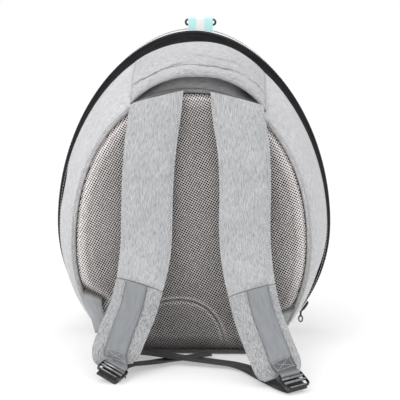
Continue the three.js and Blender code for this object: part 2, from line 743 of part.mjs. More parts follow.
// One body from several that run into each other
function fuse(geometries) {
  return geometryOf(geometries.map(solidOf).reduce((sum, solid) => sum.add(solid)));
}

shellAndDome();
zip();
panelAndPiping();
yoke();
for (const side of ['left', 'right']) {
  const padFrames = strapPad(side);
  buckle(side);
  strapWeb(side, padFrames);
  webbing(side, anchorTab(side));
}
topTabAndRing();
sliderAndPull();

export default group;
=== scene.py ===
# Egg-shaped pet carrier backpack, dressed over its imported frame. Tables are in millimetres.
import json
import math

import bmesh
import bpy
import numpy as np
from mathutils import Matrix, Vector, noise

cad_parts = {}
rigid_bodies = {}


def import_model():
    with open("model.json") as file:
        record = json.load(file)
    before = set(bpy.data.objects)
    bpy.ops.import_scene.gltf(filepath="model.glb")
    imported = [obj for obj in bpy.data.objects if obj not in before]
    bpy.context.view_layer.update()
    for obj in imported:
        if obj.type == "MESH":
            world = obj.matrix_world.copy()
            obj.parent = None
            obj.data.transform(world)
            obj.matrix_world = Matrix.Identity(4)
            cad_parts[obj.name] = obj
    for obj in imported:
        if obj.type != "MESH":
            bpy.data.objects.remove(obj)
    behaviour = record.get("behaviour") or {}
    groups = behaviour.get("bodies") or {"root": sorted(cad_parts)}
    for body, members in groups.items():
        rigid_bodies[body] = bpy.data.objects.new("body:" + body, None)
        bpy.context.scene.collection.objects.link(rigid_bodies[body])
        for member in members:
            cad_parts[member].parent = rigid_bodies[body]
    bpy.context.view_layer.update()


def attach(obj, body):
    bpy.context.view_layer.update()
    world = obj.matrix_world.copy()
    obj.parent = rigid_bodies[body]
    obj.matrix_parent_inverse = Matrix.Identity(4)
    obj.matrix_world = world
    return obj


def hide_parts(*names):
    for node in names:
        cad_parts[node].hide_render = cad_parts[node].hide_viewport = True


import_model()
mm = 0.001
print("frame loaded")


# Camera, light and floor
shot = {
    "target": (0, 0, 164), "distance": 1600, "elevation": 10, "azimuth": 1.5,
    "lens": 115.65, "sensor": 36, "shiftX": 0.01575,
    "worldStrength": 1.0, "floorSize": 9000, "floorGlow": 0.38,
}
lamps = {
    "keyLamp": {"place": (-900, -1300, 1900), "size": 1200, "watts": 12},
    "topLamp": {"place": (-100, 250, 2000), "size": 1500, "watts": 5},
}


def addNode(tree, kind, inputs=None, **settings):
    node = tree.nodes.new(kind)
    for key, value in settings.items():
        setattr(node, key, value)
    for key, value in (inputs or {}).items():
        if isinstance(value, bpy.types.NodeSocket):
            tree.links.new(value, node.inputs[key])
        else:
            node.inputs[key].default_value = value
    return node


def addObject(name, data):
    obj = bpy.data.objects.new(name, data)
    bpy.context.scene.collection.objects.link(obj)
    return obj


def circle(count):
    return np.linspace(0, 2 * np.pi, count, endpoint=False)


def setCamera():
    turn, lift = math.radians(shot["azimuth"]), math.radians(shot["elevation"])
    back = Vector((math.sin(turn) * math.cos(lift), -math.cos(turn) * math.cos(lift), math.sin(lift)))
    target = Vector(shot["target"]) * mm
    data = bpy.data.cameras.new("photoCamera")
    data.lens, data.sensor_width, data.shift_x = shot["lens"], shot["sensor"], shot["shiftX"]
    camera = addObject("photoCamera", data)
    camera.location = target + back * shot["distance"] * mm
    camera.rotation_euler = (-back).to_track_quat("-Z", "Y").to_euler()
    bpy.context.scene.camera = camera


def setLight():
    bpy.context.scene.view_settings.view_transform = "Standard"
    world = bpy.data.worlds.new("studio")
    bpy.context.scene.world = world
    world.use_nodes = True
    tree = world.node_tree
    tree.nodes.clear()
    soft = addNode(tree, "ShaderNodeBackground", {"Color": (1, 1, 1, 1), "Strength": shot["worldStrength"]})
    seen = addNode(tree, "ShaderNodeBackground", {"Color": (1, 1, 1, 1), "Strength": 1.0})
    path = addNode(tree, "ShaderNodeLightPath")
    mix = addNode(tree, "ShaderNodeMixShader", {0: path.outputs["Is Camera Ray"]})
    tree.links.new(soft.outputs[0], mix.inputs[1])
    tree.links.new(seen.outputs[0], mix.inputs[2])
    out = addNode(tree, "ShaderNodeOutputWorld")
    tree.links.new(mix.outputs[0], out.inputs["Surface"])
    for name, lamp in lamps.items():
        data = bpy.data.lights.new(name, "AREA")
        data.shape, data.size, data.energy = "DISK", lamp["size"] * mm, lamp["watts"]
        obj = addObject(name, data)
        obj.location = Vector(lamp["place"]) * mm
        aim = Vector(shot["target"]) * mm - obj.location
        obj.rotation_euler = aim.to_track_quat("-Z", "Y").to_euler()


# Shared making: smooth runs, lofts and pieces
def smoothRun(rows, steps):
    rows = np.asarray(rows, float)
    ends = np.vstack([2 * rows[0] - rows[1], rows, 2 * rows[-1] - rows[-2]])
    made = []
    for i in range(1, len(ends) - 2):
        a, b, c, d = ends[i - 1:i + 3]
        for k in range(steps):
            t = k / steps
            made.append(0.5 * (2 * b + (c - a) * t + (2 * a - 5 * b + 4 * c - d) * t ** 2
                               + (3 * b - a - 3 * c + d) * t ** 3))
    made.append(rows[-1])
    return np.array(made)


def easeStep(low, high, value):
    t = np.clip((value - low) / (high - low), 0, 1)
    return t * t * (3 - 2 * t)


def noiseAt(point, size, seed=0.0):
    return noise.noise(Vector(point) / size + Vector((seed, 2.7 * seed, -seed)))


def unit(vectors):
    return vectors / np.maximum(np.linalg.norm(vectors, axis=-1, keepdims=True), 1e-9)


# Rows of equal rings to points, quads and a UV map in metres: u round the ring, v along the run
def loft(rows, ringClosed=True, runClosed=False, capped=True):
    rows = np.asarray(rows, float)
    count, ring, _ = rows.shape
    around = np.linalg.norm(np.roll(rows, -1, 1) - rows, axis=2).mean(0)
    along = np.linalg.norm(np.roll(rows, -1, 0) - rows, axis=2).mean(1)
    u = np.concatenate([[0], np.cumsum(around)]) * mm
    v = np.concatenate([[0], np.cumsum(along)]) * mm
    faces, uv = [], []
    for i in range(count if runClosed else count - 1):
        k = (i + 1) % count
        for j in range(ring if ringClosed else ring - 1):
            n = (j + 1) % ring
            faces.append((i * ring + j, i * ring + n, k * ring + n, k * ring + j))
            uv += [(u[j], v[i]), (u[j + 1], v[i]), (u[j + 1], v[i + 1]), (u[j], v[i + 1])]
    if capped and not runClosed:
        for i in (0, count - 1):
            faces.append(tuple(i * ring + j for j in range(ring)))
            uv += [(u[j], v[i]) for j in range(ring)]
    return rows.reshape(-1, 3), faces, uv


# Each point's share of painted shade, in a seam, a tuck or under a fold; below zero it paints light
def makePiece(name, shape, material, sharp=38, crease=None):
    points, faces, uv = shape
    mesh = bpy.data.meshes.new(name)
    mesh.from_pydata((np.asarray(points, float) * mm).tolist(), [], faces)
    if uv:
        layer = mesh.uv_layers.new(name="weave")
        layer.data.foreach_set("uv", np.asarray(uv, np.float32).ravel())
    obj = addObject(name, mesh)
    faceOut(mesh)
    if crease is not None:
        layer = mesh.attributes.new("crease", "FLOAT", "POINT")
        layer.data.foreach_set("value", np.asarray(crease, np.float32))
    mesh.materials.append(material)
    mesh.shade_smooth()
    mesh.set_sharp_from_angle(angle=math.radians(sharp))
    return obj


def faceOut(mesh, merge=0.0):
    work = bmesh.new()
    work.from_mesh(mesh)
    if merge:
        bmesh.ops.remove_doubles(work, verts=work.verts, dist=merge)
    bmesh.ops.recalc_face_normals(work, faces=work.faces)
    work.to_mesh(mesh)
    work.free()


def joinShapes(shapes):
    points, faces, uv = [], [], []
    for shapePoints, shapeFaces, shapeUv in shapes:
        start = len(points)
        points += [tuple(p) for p in shapePoints]
        faces += [tuple(start + i for i in face) for face in shapeFaces]
        uv += list(shapeUv)
    return points, faces, uv


def dress(obj, body, slotName, *nodes):
    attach(obj, body)
    if nodes:
        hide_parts(*nodes)
    return obj


# Padded cloth: the form is blown up a little between its sewn lines, and moves by the cap at most
clothRule = {"quality": 6, "mass": 0.15, "stretch": 18, "shear": 8, "bend": 0.6, "shrink": -0.02,
             "frames": 14}


def puff(obj, sewn, reach, pressure, cap):
    rest = np.zeros(len(obj.data.vertices) * 3, np.float32)
    obj.data.vertices.foreach_get("co", rest)
    group = obj.vertex_groups.new(name="sewn")
    group.add([int(i) for i in np.flatnonzero(sewn)], 1.0, "REPLACE")
    cloth = obj.modifiers.new("puff", "CLOTH")
    setting = cloth.settings
    setting.quality, setting.mass = clothRule["quality"], clothRule["mass"]
    setting.tension_stiffness = setting.compression_stiffness = clothRule["stretch"]
    setting.shear_stiffness, setting.bending_stiffness = clothRule["shear"], clothRule["bend"]
    setting.use_pressure, setting.uniform_pressure_force = True, pressure
    setting.effector_weights.gravity = 0
    setting.vertex_group_mass, setting.shrink_min = "sewn", clothRule["shrink"]
    cloth.collision_settings.use_collision = False
    cloth.point_cache.frame_start, cloth.point_cache.frame_end = 1, clothRule["frames"]
    scene = bpy.context.scene
    for number in range(1, clothRule["frames"] + 1):
        scene.frame_set(number)
    graph = bpy.context.evaluated_depsgraph_get()
    blown = np.zeros_like(rest)
    obj.evaluated_get(graph).data.vertices.foreach_get("co", blown)
    obj.modifiers.remove(cloth)
    obj.vertex_groups.clear()
    scene.frame_set(1)
    move = (blown - rest).reshape(-1, 3)
    size = np.linalg.norm(move, axis=1, keepdims=True)
    move *= np.minimum(1, cap * mm / np.maximum(size, 1e-9)) * np.asarray(reach, float)[:, None]
    obj.data.vertices.foreach_set("co", (rest.reshape(-1, 3) + move).ravel())
    obj.data.update()
    print("  puffed", obj.name, "by up to", round(float(np.linalg.norm(move, axis=1).max() / mm), 2), "mm")


# Materials
def newMaterial(name, roughness, sheen=0.0, specular=0.15, more=None):
    material = bpy.data.materials.new(name)
    material.use_nodes = True
    tree = material.node_tree
    shader = tree.nodes["Principled BSDF"]
    values = {"Roughness": roughness, "Sheen Weight": sheen, "Specular IOR Level": specular, **(more or {})}
    for key, value in values.items():
        shader.inputs[key].default_value = value
    return material, tree, shader


def ramp(tree, source, stops):
    node = addNode(tree, "ShaderNodeValToRGB", {"Fac": source})
    band = node.color_ramp
    while len(band.elements) < len(stops):
        band.elements.new(0.5)
    for element, (place, colour) in zip(band.elements, stops):
        element.position = place
        element.color = (*colour, 1)
    return node.outputs["Color"]


grainTurn = (0.5, 0.8, 0.6)  # keeps the grain off the noise's own lattice


def stretchedNoise(tree, coords, scale, detail, rough):
    spread = addNode(tree, "ShaderNodeMapping", {"Vector": coords, "Scale": scale, "Rotation": grainTurn})
    grain = addNode(tree, "ShaderNodeTexNoise", {"Vector": spread.outputs[0], "Scale": 1.0,
                                                 "Detail": detail, "Roughness": rough})
    return grain.outputs["Fac"]


def math2(tree, operation, a, b):
    return addNode(tree, "ShaderNodeMath", {0: a, 1: b}, operation=operation).outputs[0]


def plus(tree, a, b):
    return math2(tree, "ADD", a, b)


def minus(tree, a, b):
    return math2(tree, "SUBTRACT", a, b)


def times(tree, a, b):
    return math2(tree, "MULTIPLY", a, b)


def wave(tree, source, pitch):
    return math2(tree, "SINE", times(tree, source, 2 * math.pi / (pitch * mm)), 0.0)


def objectPlace(tree):
    return addNode(tree, "ShaderNodeTexCoord").outputs["Object"]


def weaveUv(tree):
    return addNode(tree, "ShaderNodeUVMap", uv_map="weave").outputs[0]


# Plain weave, one up one down, from two crossed waves of the thread's pitch
def plainWeave(tree, coords, pitch):
    parts = addNode(tree, "ShaderNodeSeparateXYZ", {0: coords})
    return times(tree, wave(tree, parts.outputs[0], pitch), wave(tree, parts.outputs[1], pitch))


def bump(tree, shader, height, strength, distance):
    node = addNode(tree, "ShaderNodeBump", {
        "Height": height, "Strength": strength, "Distance": distance * mm})
    tree.links.new(node.outputs[0], shader.inputs["Normal"])


# Colour dimmed by the piece's painted shade attribute, where it has one, and lightened where that is below
# zero
def withPaintedShading(tree, colour, depth):
    crease = addNode(tree, "ShaderNodeAttribute", attribute_name="crease").outputs["Fac"]
    kept = minus(tree, 1.0, times(tree, crease, depth))
    return addNode(tree, "ShaderNodeVectorMath", {0: colour, "Scale": kept}, operation="SCALE").outputs[0]


# Melange cloth: pale yarn with darker slubs that run along one way of the weave
def melange(name, look):
    material, tree, shader = newMaterial(name, 0.88, 0.12)
    coords = weaveUv(tree)
    thin, long = 1000 / look["slub"], 1000 / look["run"]
    way = (thin, long, 1) if look["along"] == "v" else (long, thin, 1)
    fine = stretchedNoise(tree, coords, tuple(2.3 * s for s in way), 3.0, 0.6)
    coarse = stretchedNoise(tree, coords, way, 2.0, 0.5)
    patch = stretchedNoise(tree, coords, melangeRule["patchScale"], 2.0, 0.5)
    mixed = plus(tree, times(tree, fine, melangeRule["fine"]), times(tree, coarse, melangeRule["coarse"]))
    mixed = plus(tree, mixed, times(tree, minus(tree, patch, 0.5), melangeRule["patch"]))
    colours = [look[key] for key in ("dark", "body", "body", "pale")]
    colour = ramp(tree, mixed, list(zip(melangeRule["stops"], colours)))
    tree.links.new(withPaintedShading(tree, colour, 0.85), shader.inputs["Base Color"])
    weave = plainWeave(tree, coords, look["thread"])
    bump(tree, shader, plus(tree, times(tree, weave, melangeRule["weave"]), mixed), 0.35, 0.5)
    return material


# Webbing: cross ribs with a fine twill on them
def ribbedWebbing(name, look):
    sheen, specular = look.get("sheen", 0.05), look.get("specular", 0.15)
    material, tree, shader = newMaterial(name, look["rough"], sheen, specular)
    coords = weaveUv(tree)
    parts = addNode(tree, "ShaderNodeSeparateXYZ", {0: coords})
    ribs, yarns = wave(tree, parts.outputs[1], look["rib"]), wave(tree, parts.outputs[0], look["yarn"])
    height = plus(tree, times(tree, ribs, 0.6), times(tree, yarns, 0.4))
    tone = stretchedNoise(tree, coords, (160, 45, 1), 3.0, 0.6)
    shade = plus(tree, tone, times(tree, height, 0.05))
    colour = ramp(tree, shade, [(0.35, look["dark"]), (0.65, look["pale"])])
    tree.links.new(withPaintedShading(tree, colour, 0.9), shader.inputs["Base Color"])
    bump(tree, shader, height, look["relief"], 0.25)
    return material


def glossFrom(tree, shader, source, low, high):
    gloss = addNode(tree, "ShaderNodeMapRange", {
        "Value": source, "From Min": 0.3, "From Max": 0.75, "To Min": low, "To Max": high})
    tree.links.new(gloss.outputs[0], shader.inputs["Roughness"])


# Moulded or plated pieces: slight mottling, with fine scuffs in the gloss
def mouldedFinish(name, look):
    material, tree, shader = newMaterial(name, look["rough"], 0.0, 0.5, {
        "Metallic": look.get("metal", 0.0), "Coat Weight": look.get("coat", 0.0)})
    coords = objectPlace(tree)
    mottle = stretchedNoise(tree, coords, (240, 240, 240), 4.0, 0.6)
    colour = ramp(tree, mottle, [(0.3, look["dark"]), (0.7, look["pale"])])
    tree.links.new(colour, shader.inputs["Base Color"])
    scuff = stretchedNoise(tree, coords, (900, 140, 900), 4.0, 0.7)
    glossFrom(tree, shader, scuff, look["rough"] * 0.8, look["rough"] * 1.4)
    bump(tree, shader, mottle, 0.05, 0.1)
    return material


melangeRule = {"fine": 0.3, "coarse": 0.7, "patch": 0.09, "patchScale": (22, 22, 1),
               "stops": (0.38, 0.47, 0.54, 0.63), "weave": 0.3}
melangeLook = {
    "shell": {"along": "u", "slub": 0.55, "run": 5, "thread": 0.9,
              "dark": (0.36, 0.36, 0.37), "body": (0.55, 0.55, 0.565), "pale": (0.72, 0.72, 0.73)},
    "yoke": {"along": "v", "slub": 0.55, "run": 5, "thread": 0.9,
             "dark": (0.30, 0.30, 0.31), "body": (0.49, 0.49, 0.50), "pale": (0.64, 0.64, 0.65)},
    "strap": {"along": "v", "slub": 0.5, "run": 6, "thread": 0.9,
              "dark": (0.26, 0.265, 0.27), "body": (0.455, 0.46, 0.47), "pale": (0.62, 0.62, 0.63)},
    "strapEnd": {"along": "v", "slub": 0.6, "run": 4, "thread": 0.9,
                 "dark": (0.18, 0.185, 0.19), "body": (0.43, 0.435, 0.445), "pale": (0.62, 0.62, 0.63)},
    "lining": {"along": "u", "slub": 0.9, "run": 6, "thread": 0.7,
               "dark": (0.36, 0.36, 0.37), "body": (0.45, 0.45, 0.46), "pale": (0.52, 0.52, 0.53)},
    "piping": {"along": "v", "slub": 1.0, "run": 5, "thread": 0.8,
               "dark": (0.34, 0.335, 0.335), "body": (0.50, 0.495, 0.50), "pale": (0.64, 0.635, 0.64)},
}
webbingLook = {
    "tab": {"dark": (0.30, 0.31, 0.32), "pale": (0.38, 0.39, 0.40), "rough": 0.7,
            "rib": 1.1, "yarn": 1.4, "relief": 0.1},
    "grey": {"dark": (0.235, 0.245, 0.26), "pale": (0.29, 0.30, 0.315), "rough": 0.62,
             "rib": 1.1, "yarn": 1.4, "relief": 0.12},
    "dark": {"dark": (0.042, 0.041, 0.041), "pale": (0.085, 0.083, 0.083), "rough": 0.75,
             "rib": 1.6, "yarn": 2.1, "relief": 0.5},
    "tape": {"dark": (0.008, 0.008, 0.009), "pale": (0.017, 0.017, 0.02), "rough": 0.9,
             "rib": 1.2, "yarn": 1.5, "relief": 0.4, "sheen": 0.0, "specular": 0.06},
}
mouldedLook = {
    "blackPlastic": {"dark": (0.01, 0.01, 0.011), "pale": (0.022, 0.022, 0.024), "rough": 0.14, "coat": 0.6},
    "darkWire": {"dark": (0.09, 0.09, 0.09), "pale": (0.15, 0.145, 0.145), "rough": 0.28, "metal": 1.0},
    "greyWire": {"dark": (0.14, 0.135, 0.135), "pale": (0.22, 0.215, 0.21), "rough": 0.26, "metal": 1.0},
    "barMetal": {"dark": (0.20, 0.20, 0.205), "pale": (0.32, 0.32, 0.325), "rough": 0.2, "metal": 1.0},
    "coil": {"dark": (0.030, 0.030, 0.034), "pale": (0.060, 0.060, 0.066), "rough": 0.42},
}
threadLook = {"paleThread": (0.52, 0.52, 0.53), "greyThread": (0.20, 0.20, 0.21),
              "boxThread": (0.42, 0.42, 0.43), "darkThread": (0.05, 0.05, 0.052)}
meshLook = {"meshStrand": [(0.58, 0.55, 0.54), (0.88, 0.84, 0.825)],
            "meshFoam": [(0.012, 0.011, 0.011), (0.026, 0.024, 0.024)]}
stripeLook = {"width": 30, "edge": (0.60, 0.93, 0.94), "middle": (0.97, 0.97, 0.965), "thread": 1.0}


def threadFinish(name, colour):
    material, tree, shader = newMaterial(name, 0.7, 0.1)
    coords = objectPlace(tree)
    twist = stretchedNoise(tree, coords, (700, 700, 700), 2.0, 0.6)
    pale = tuple(min(1.0, 1.25 * c) for c in colour)
    tree.links.new(ramp(tree, twist, [(0.35, colour), (0.7, pale)]), shader.inputs["Base Color"])
    return material


# Air mesh: the face's knitted strands, and the near-black pad seen through its holes; both take the painted
# shade attribute
def airMeshFinish(name, dark, pale):
    material, tree, shader = newMaterial(name, 0.8, 0.1)
    coords = objectPlace(tree)
    yarn = stretchedNoise(tree, coords, (420, 420, 420), 3.0, 0.6)
    broad = stretchedNoise(tree, coords, (14, 14, 14), 2.0, 0.5)
    shade = plus(tree, yarn, times(tree, minus(tree, broad, 0.5), 0.25))
    colour = ramp(tree, shade, [(0.3, dark), (0.7, pale)])
    tree.links.new(withPaintedShading(tree, colour, 0.9), shader.inputs["Base Color"])
    bump(tree, shader, yarn, 0.25, 0.3)
    return material


# Striped webbing: turquoise edges, white middle, with soft woven borders between them
def stripedFinish(name, look):
    material, tree, shader = newMaterial(name, 0.7, 0.1)
    coords = weaveUv(tree)
    parts = addNode(tree, "ShaderNodeSeparateXYZ", {0: coords})
    place = times(tree, parts.outputs[1], 1 / (look["width"] * mm))
    stops = [(0.0, look["edge"]), (0.30, look["edge"]), (0.36, look["middle"]), (0.62, look["middle"]),
             (0.68, look["edge"]), (1.0, look["edge"])]
    tree.links.new(ramp(tree, place, stops), shader.inputs["Base Color"])
    bump(tree, shader, plainWeave(tree, coords, look["thread"]), 0.3, 0.3)
    return material


def clearFinish(name):
    material, tree, shader = newMaterial(name, 0.04, 0.0, 0.5, {
        "Transmission Weight": 1.0, "IOR": 1.2, "Base Color": (0.97, 0.985, 0.99, 1)})
    coords = objectPlace(tree)
    haze = stretchedNoise(tree, coords, (30, 30, 30), 3.0, 0.6)
    glossFrom(tree, shader, haze, 0.02, 0.08)
    return material


# The floor glows a little: painted light that lightens the shadows on it and lights the carrier from below
def floorFinish():
    return newMaterial("paleFloor", 0.75, 0.0, 0.2, {
        "Base Color": (0.62, 0.62, 0.617, 1), "Emission Color": (1, 1, 1, 1),
        "Emission Strength": shot["floorGlow"]})[0]


finish = {key + "Melange": melange(key + "Melange", look) for key, look in melangeLook.items()}
finish |= {key + "Webbing": ribbedWebbing(key + "Webbing", look) for key, look in webbingLook.items()}
finish |= {key: mouldedFinish(key, look) for key, look in mouldedLook.items()}
finish |= {key: threadFinish(key, colour) for key, colour in threadLook.items()}
finish |= {key: airMeshFinish(key, *colours) for key, colours in meshLook.items()}
finish["stripes"] = stripedFinish("stripes", stripeLook)
finish["clearPlastic"] = clearFinish("clearPlastic")
setCamera()
setLight()
floorMesh = bpy.data.meshes.new("floor")
half = shot["floorSize"] * mm
corners = [(-half, -half, 0), (half, -half, 0), (half, half, 0), (-half, half, 0)]
floorMesh.from_pydata(corners, [], [(0, 1, 2, 3)])
floorMesh.materials.append(floorFinish())
addObject("floor", floorMesh)
print("camera, light, floor and finishes ready")


# Geometry Nodes: stitches and zip teeth along paths, and the mesh face over its pad
def newTree(name, sockets):
    tree = bpy.data.node_groups.new(name, "GeometryNodeTree")
    tree.interface.new_socket("Geometry", in_out="INPUT", socket_type="NodeSocketGeometry")
    for label, kind in sockets:
        tree.interface.new_socket(label, in_out="INPUT", socket_type="NodeSocket" + kind)
    tree.interface.new_socket("Geometry", in_out="OUTPUT", socket_type="NodeSocketGeometry")
    return tree, addNode(tree, "NodeGroupInput").outputs, addNode(tree, "NodeGroupOutput").inputs


def runTree(obj, tree, values):
    modifier = obj.modifiers.new(tree.name, "NODES")
    modifier.node_group = tree
    for item in tree.interface.items_tree:
        if item.in_out == "INPUT" and item.name in values:
            modifier[item.identifier] = values[item.name]
    graph = bpy.context.evaluated_depsgraph_get()
    mesh = bpy.data.meshes.new_from_object(obj.evaluated_get(graph), depsgraph=graph)
    name = obj.name
    source = obj.data
    bpy.data.objects.remove(obj)
    bpy.data.meshes.remove(source)
    mesh.name = name
    return addObject(name, mesh)


def finishTree(tree, instances, material, end):
    real = addNode(tree, "GeometryNodeRealizeInstances", {0: instances})
    smooth = addNode(tree, "GeometryNodeSetShadeSmooth", {0: real.outputs[0]})
    coloured = addNode(tree, "GeometryNodeSetMaterial", {"Geometry": smooth.outputs[0], "Material": material})
    tree.links.new(coloured.outputs[0], end[0])


# Short thread bars along each path
def stitchTree():
    tree, start, end = newTree("stitchRun", [("Spacing", "Float"), ("Length", "Float"), ("Radius", "Float"),
                                             ("Thread", "Material")])
    path = addNode(tree, "GeometryNodeMeshToCurve", {0: start["Geometry"]})
    points = addNode(tree, "GeometryNodeCurveToPoints", {0: path.outputs[0], "Length": start["Spacing"]},
                     mode="LENGTH")
    bar = addNode(tree, "GeometryNodeMeshUVSphere", {"Segments": 6, "Rings": 4, "Radius": 1.0})
    reach = times(tree, start["Length"], 0.5)
    size = addNode(tree, "ShaderNodeCombineXYZ", {0: start["Radius"], 1: start["Radius"], 2: reach})
    placed = addNode(tree, "GeometryNodeInstanceOnPoints", {
        "Points": points.outputs["Points"], "Instance": bar.outputs[0],
        "Rotation": points.outputs["Rotation"], "Scale": size.outputs[0]})
    finishTree(tree, placed.outputs[0], start["Thread"], end)
    return tree


# Two rows of coil loops that lock over the middle of the zip, each loop lying across it
def zipTree():
    tree, start, end = newTree("zipTeeth", [("Pitch", "Float"), ("Across", "Float"), ("Along", "Float"),
                                            ("Height", "Float"), ("Offset", "Float"), ("Coil", "Material")])
    path = addNode(tree, "GeometryNodeMeshToCurve", {0: start["Geometry"]})
    points = addNode(tree, "GeometryNodeCurveToPoints", {0: path.outputs[0], "Length": start["Pitch"]},
                     mode="LENGTH")
    index = addNode(tree, "GeometryNodeInputIndex").outputs[0]
    odd = minus(tree, times(tree, math2(tree, "MODULO", index, 2.0), 2.0), 1.0)
    shift = addNode(tree, "ShaderNodeCombineXYZ", {1: times(tree, odd, start["Offset"])})
    moved = addNode(tree, "GeometryNodeSetPosition", {
        0: points.outputs["Points"], "Offset": shift.outputs[0]})
    tooth = addNode(tree, "GeometryNodeMeshUVSphere", {"Segments": 6, "Rings": 4, "Radius": 1.0})
    size = addNode(tree, "ShaderNodeCombineXYZ", {0: start["Height"], 1: start["Across"], 2: start["Along"]})
    turn = addNode(tree, "FunctionNodeAlignRotationToVector", {"Vector": points.outputs["Tangent"]},
                   axis="Z", pivot_axis="Y")
    placed = addNode(tree, "GeometryNodeInstanceOnPoints", {
        "Points": moved.outputs[0], "Instance": tooth.outputs[0],
        "Rotation": turn.outputs[0], "Scale": size.outputs[0]})
    finishTree(tree, placed.outputs[0], start["Coil"], end)
    return tree


# Staggered cells laid over the pad from in front, keeping each cell's own relief and taking the pad's painted
# shade
def meshFaceTree():
    tree, start, end = newTree("meshFace", [
        ("Pitch", "Float"), ("Width", "Float"), ("Height", "Float"), ("Columns", "Int"), ("Rows", "Int"),
        ("Middle", "Vector"), ("Turn", "Float"), ("Lift", "Float"), ("Close", "Float"), ("Cell", "Object"),
        ("Strand", "Material")])
    grid = addNode(tree, "GeometryNodeMeshGrid", {
        "Size X": start["Width"], "Size Y": start["Height"],
        "Vertices X": start["Columns"], "Vertices Y": start["Rows"]})
    halfPitch = times(tree, start["Pitch"], 0.5)
    step = addNode(tree, "ShaderNodeCombineXYZ", {0: halfPitch, 1: halfPitch})
    shifted = addNode(tree, "GeometryNodeTransform", {0: grid.outputs[0], "Translation": step.outputs[0]})
    both = addNode(tree, "GeometryNodeJoinGeometry")
    tree.links.new(grid.outputs[0], both.inputs[0])
    tree.links.new(shifted.outputs[0], both.inputs[0])
    cell = addNode(tree, "GeometryNodeObjectInfo", {"Object": start["Cell"]})
    placed = addNode(tree, "GeometryNodeInstanceOnPoints", {
        "Points": both.outputs[0], "Instance": cell.outputs["Geometry"], "Scale": start["Pitch"]})
    real = addNode(tree, "GeometryNodeRealizeInstances", {0: placed.outputs[0]})
    joined = addNode(tree, "GeometryNodeMergeByDistance", {
        0: real.outputs[0], "Distance": times(tree, start["Pitch"], 0.04)})
    turned = addNode(tree, "ShaderNodeCombineXYZ", {0: math.pi / 2, 1: start["Turn"]})
    stood = addNode(tree, "GeometryNodeTransform", {
        0: joined.outputs[0], "Rotation": turned.outputs[0], "Translation": start["Middle"]})
    crease = addNode(tree, "GeometryNodeInputNamedAttribute", {"Name": "crease"}, data_type="FLOAT")
    ray = addNode(tree, "GeometryNodeRaycast", {
        0: start["Geometry"], "Attribute": crease.outputs["Attribute"],
        "Ray Direction": (0, 1, 0), "Ray Length": 0.4})
    miss = addNode(tree, "FunctionNodeBooleanMath", {0: ray.outputs["Is Hit"]}, operation="NOT")
    kept = addNode(tree, "GeometryNodeDeleteGeometry", {0: stood.outputs[0], "Selection": miss.outputs[0]})
    here = addNode(tree, "ShaderNodeSeparateXYZ", {0: addNode(tree, "GeometryNodeInputPosition").outputs[0]})
    middle = addNode(tree, "ShaderNodeSeparateXYZ", {0: start["Middle"]})
    relief = minus(tree, here.outputs[1], middle.outputs[1])
    raised = addNode(tree, "ShaderNodeCombineXYZ", {1: minus(tree, relief, start["Lift"])})
    place = addNode(tree, "ShaderNodeVectorMath", {0: ray.outputs["Hit Position"], 1: raised.outputs[0]},
                    operation="ADD")
    facing = addNode(tree, "ShaderNodeSeparateXYZ", {0: ray.outputs["Hit Normal"]}).outputs[1]
    closing = addNode(tree, "ShaderNodeMapRange", {
        "Value": times(tree, facing, -1.0), "From Min": 0.995, "From Max": 0.86,
        "To Min": 0.0, "To Max": start["Close"]})
    inward = addNode(tree, "GeometryNodeInputNamedAttribute", {"Name": "inward"}, data_type="FLOAT_VECTOR")
    shut = times(tree, times(tree, closing.outputs[0], start["Pitch"]), -1.0)
    inward = addNode(tree, "ShaderNodeVectorRotate", {
        "Vector": inward.outputs["Attribute"], "Angle": start["Turn"]}, rotation_type="Y_AXIS")
    drawn = addNode(tree, "ShaderNodeVectorMath", {0: inward.outputs[0], "Scale": shut}, operation="SCALE")
    place = addNode(tree, "ShaderNodeVectorMath", {0: place.outputs[0], 1: drawn.outputs[0]}, operation="ADD")
    toned = addNode(tree, "GeometryNodeStoreNamedAttribute", {
        0: kept.outputs[0], "Name": "crease", "Value": ray.outputs["Attribute"]},
        data_type="FLOAT", domain="POINT")
    laid = addNode(tree, "GeometryNodeSetPosition", {0: toned.outputs[0], "Position": place.outputs[0]})
    finishTree(tree, laid.outputs[0], start["Strand"], end)
    return tree


def pathPiece(name, runs):
    points, edges = [], []
    for run in runs:
        start = len(points)
        points += [tuple(float(c) * mm for c in p) for p in run]
        edges += [(start + i, start + i + 1) for i in range(len(run) - 1)]
    mesh = bpy.data.meshes.new(name)
    mesh.from_pydata(points, edges, [])
    return addObject(name, mesh)


stitchRun, zipTeeth, meshFace = stitchTree(), zipTree(), meshFaceTree()


# Rows of stitches: thread, spacing, length and radius of one stitch, and the slot of the cloth
stitches = {
    "zipTapeStitches": ("darkThread", 3.6, 2.5, 0.3, "zip_tape"),
    "shellRimStitches": ("paleThread", 3.8, 2.7, 0.32, "shell_cloth"),
    "pipingStitches": ("greyThread", 3.4, 2.2, 0.28, "piping_cloth"),
    "yokeStitches": ("greyThread", 3.4, 2.4, 0.26, "shell_cloth"),
    "strapStitches": ("paleThread", 4.0, 2.8, 0.36, "strap_cloth"),
    "boxStitches": ("boxThread", 2.2, 1.9, 0.42, "grey_webbing"),
    "stripStitches": ("greyThread", 3.2, 2.3, 0.24, "grey_webbing"),
}


def sew(name, runs, ending=""):
    thread, spacing, length, radius, slotName = stitches[name]
    obj = runTree(pathPiece(name + ending, runs), stitchRun, {
        "Spacing": spacing * mm, "Length": length * mm, "Radius": radius * mm, "Thread": finish[thread]})
    dress(obj, "carrier", slotName)


# Painted shade that grows between two places, summed over a list of from, to and most
def shadeOf(shades, place):
    return sum(dark * easeStep(clear, full, place) for clear, full, dark in shades)


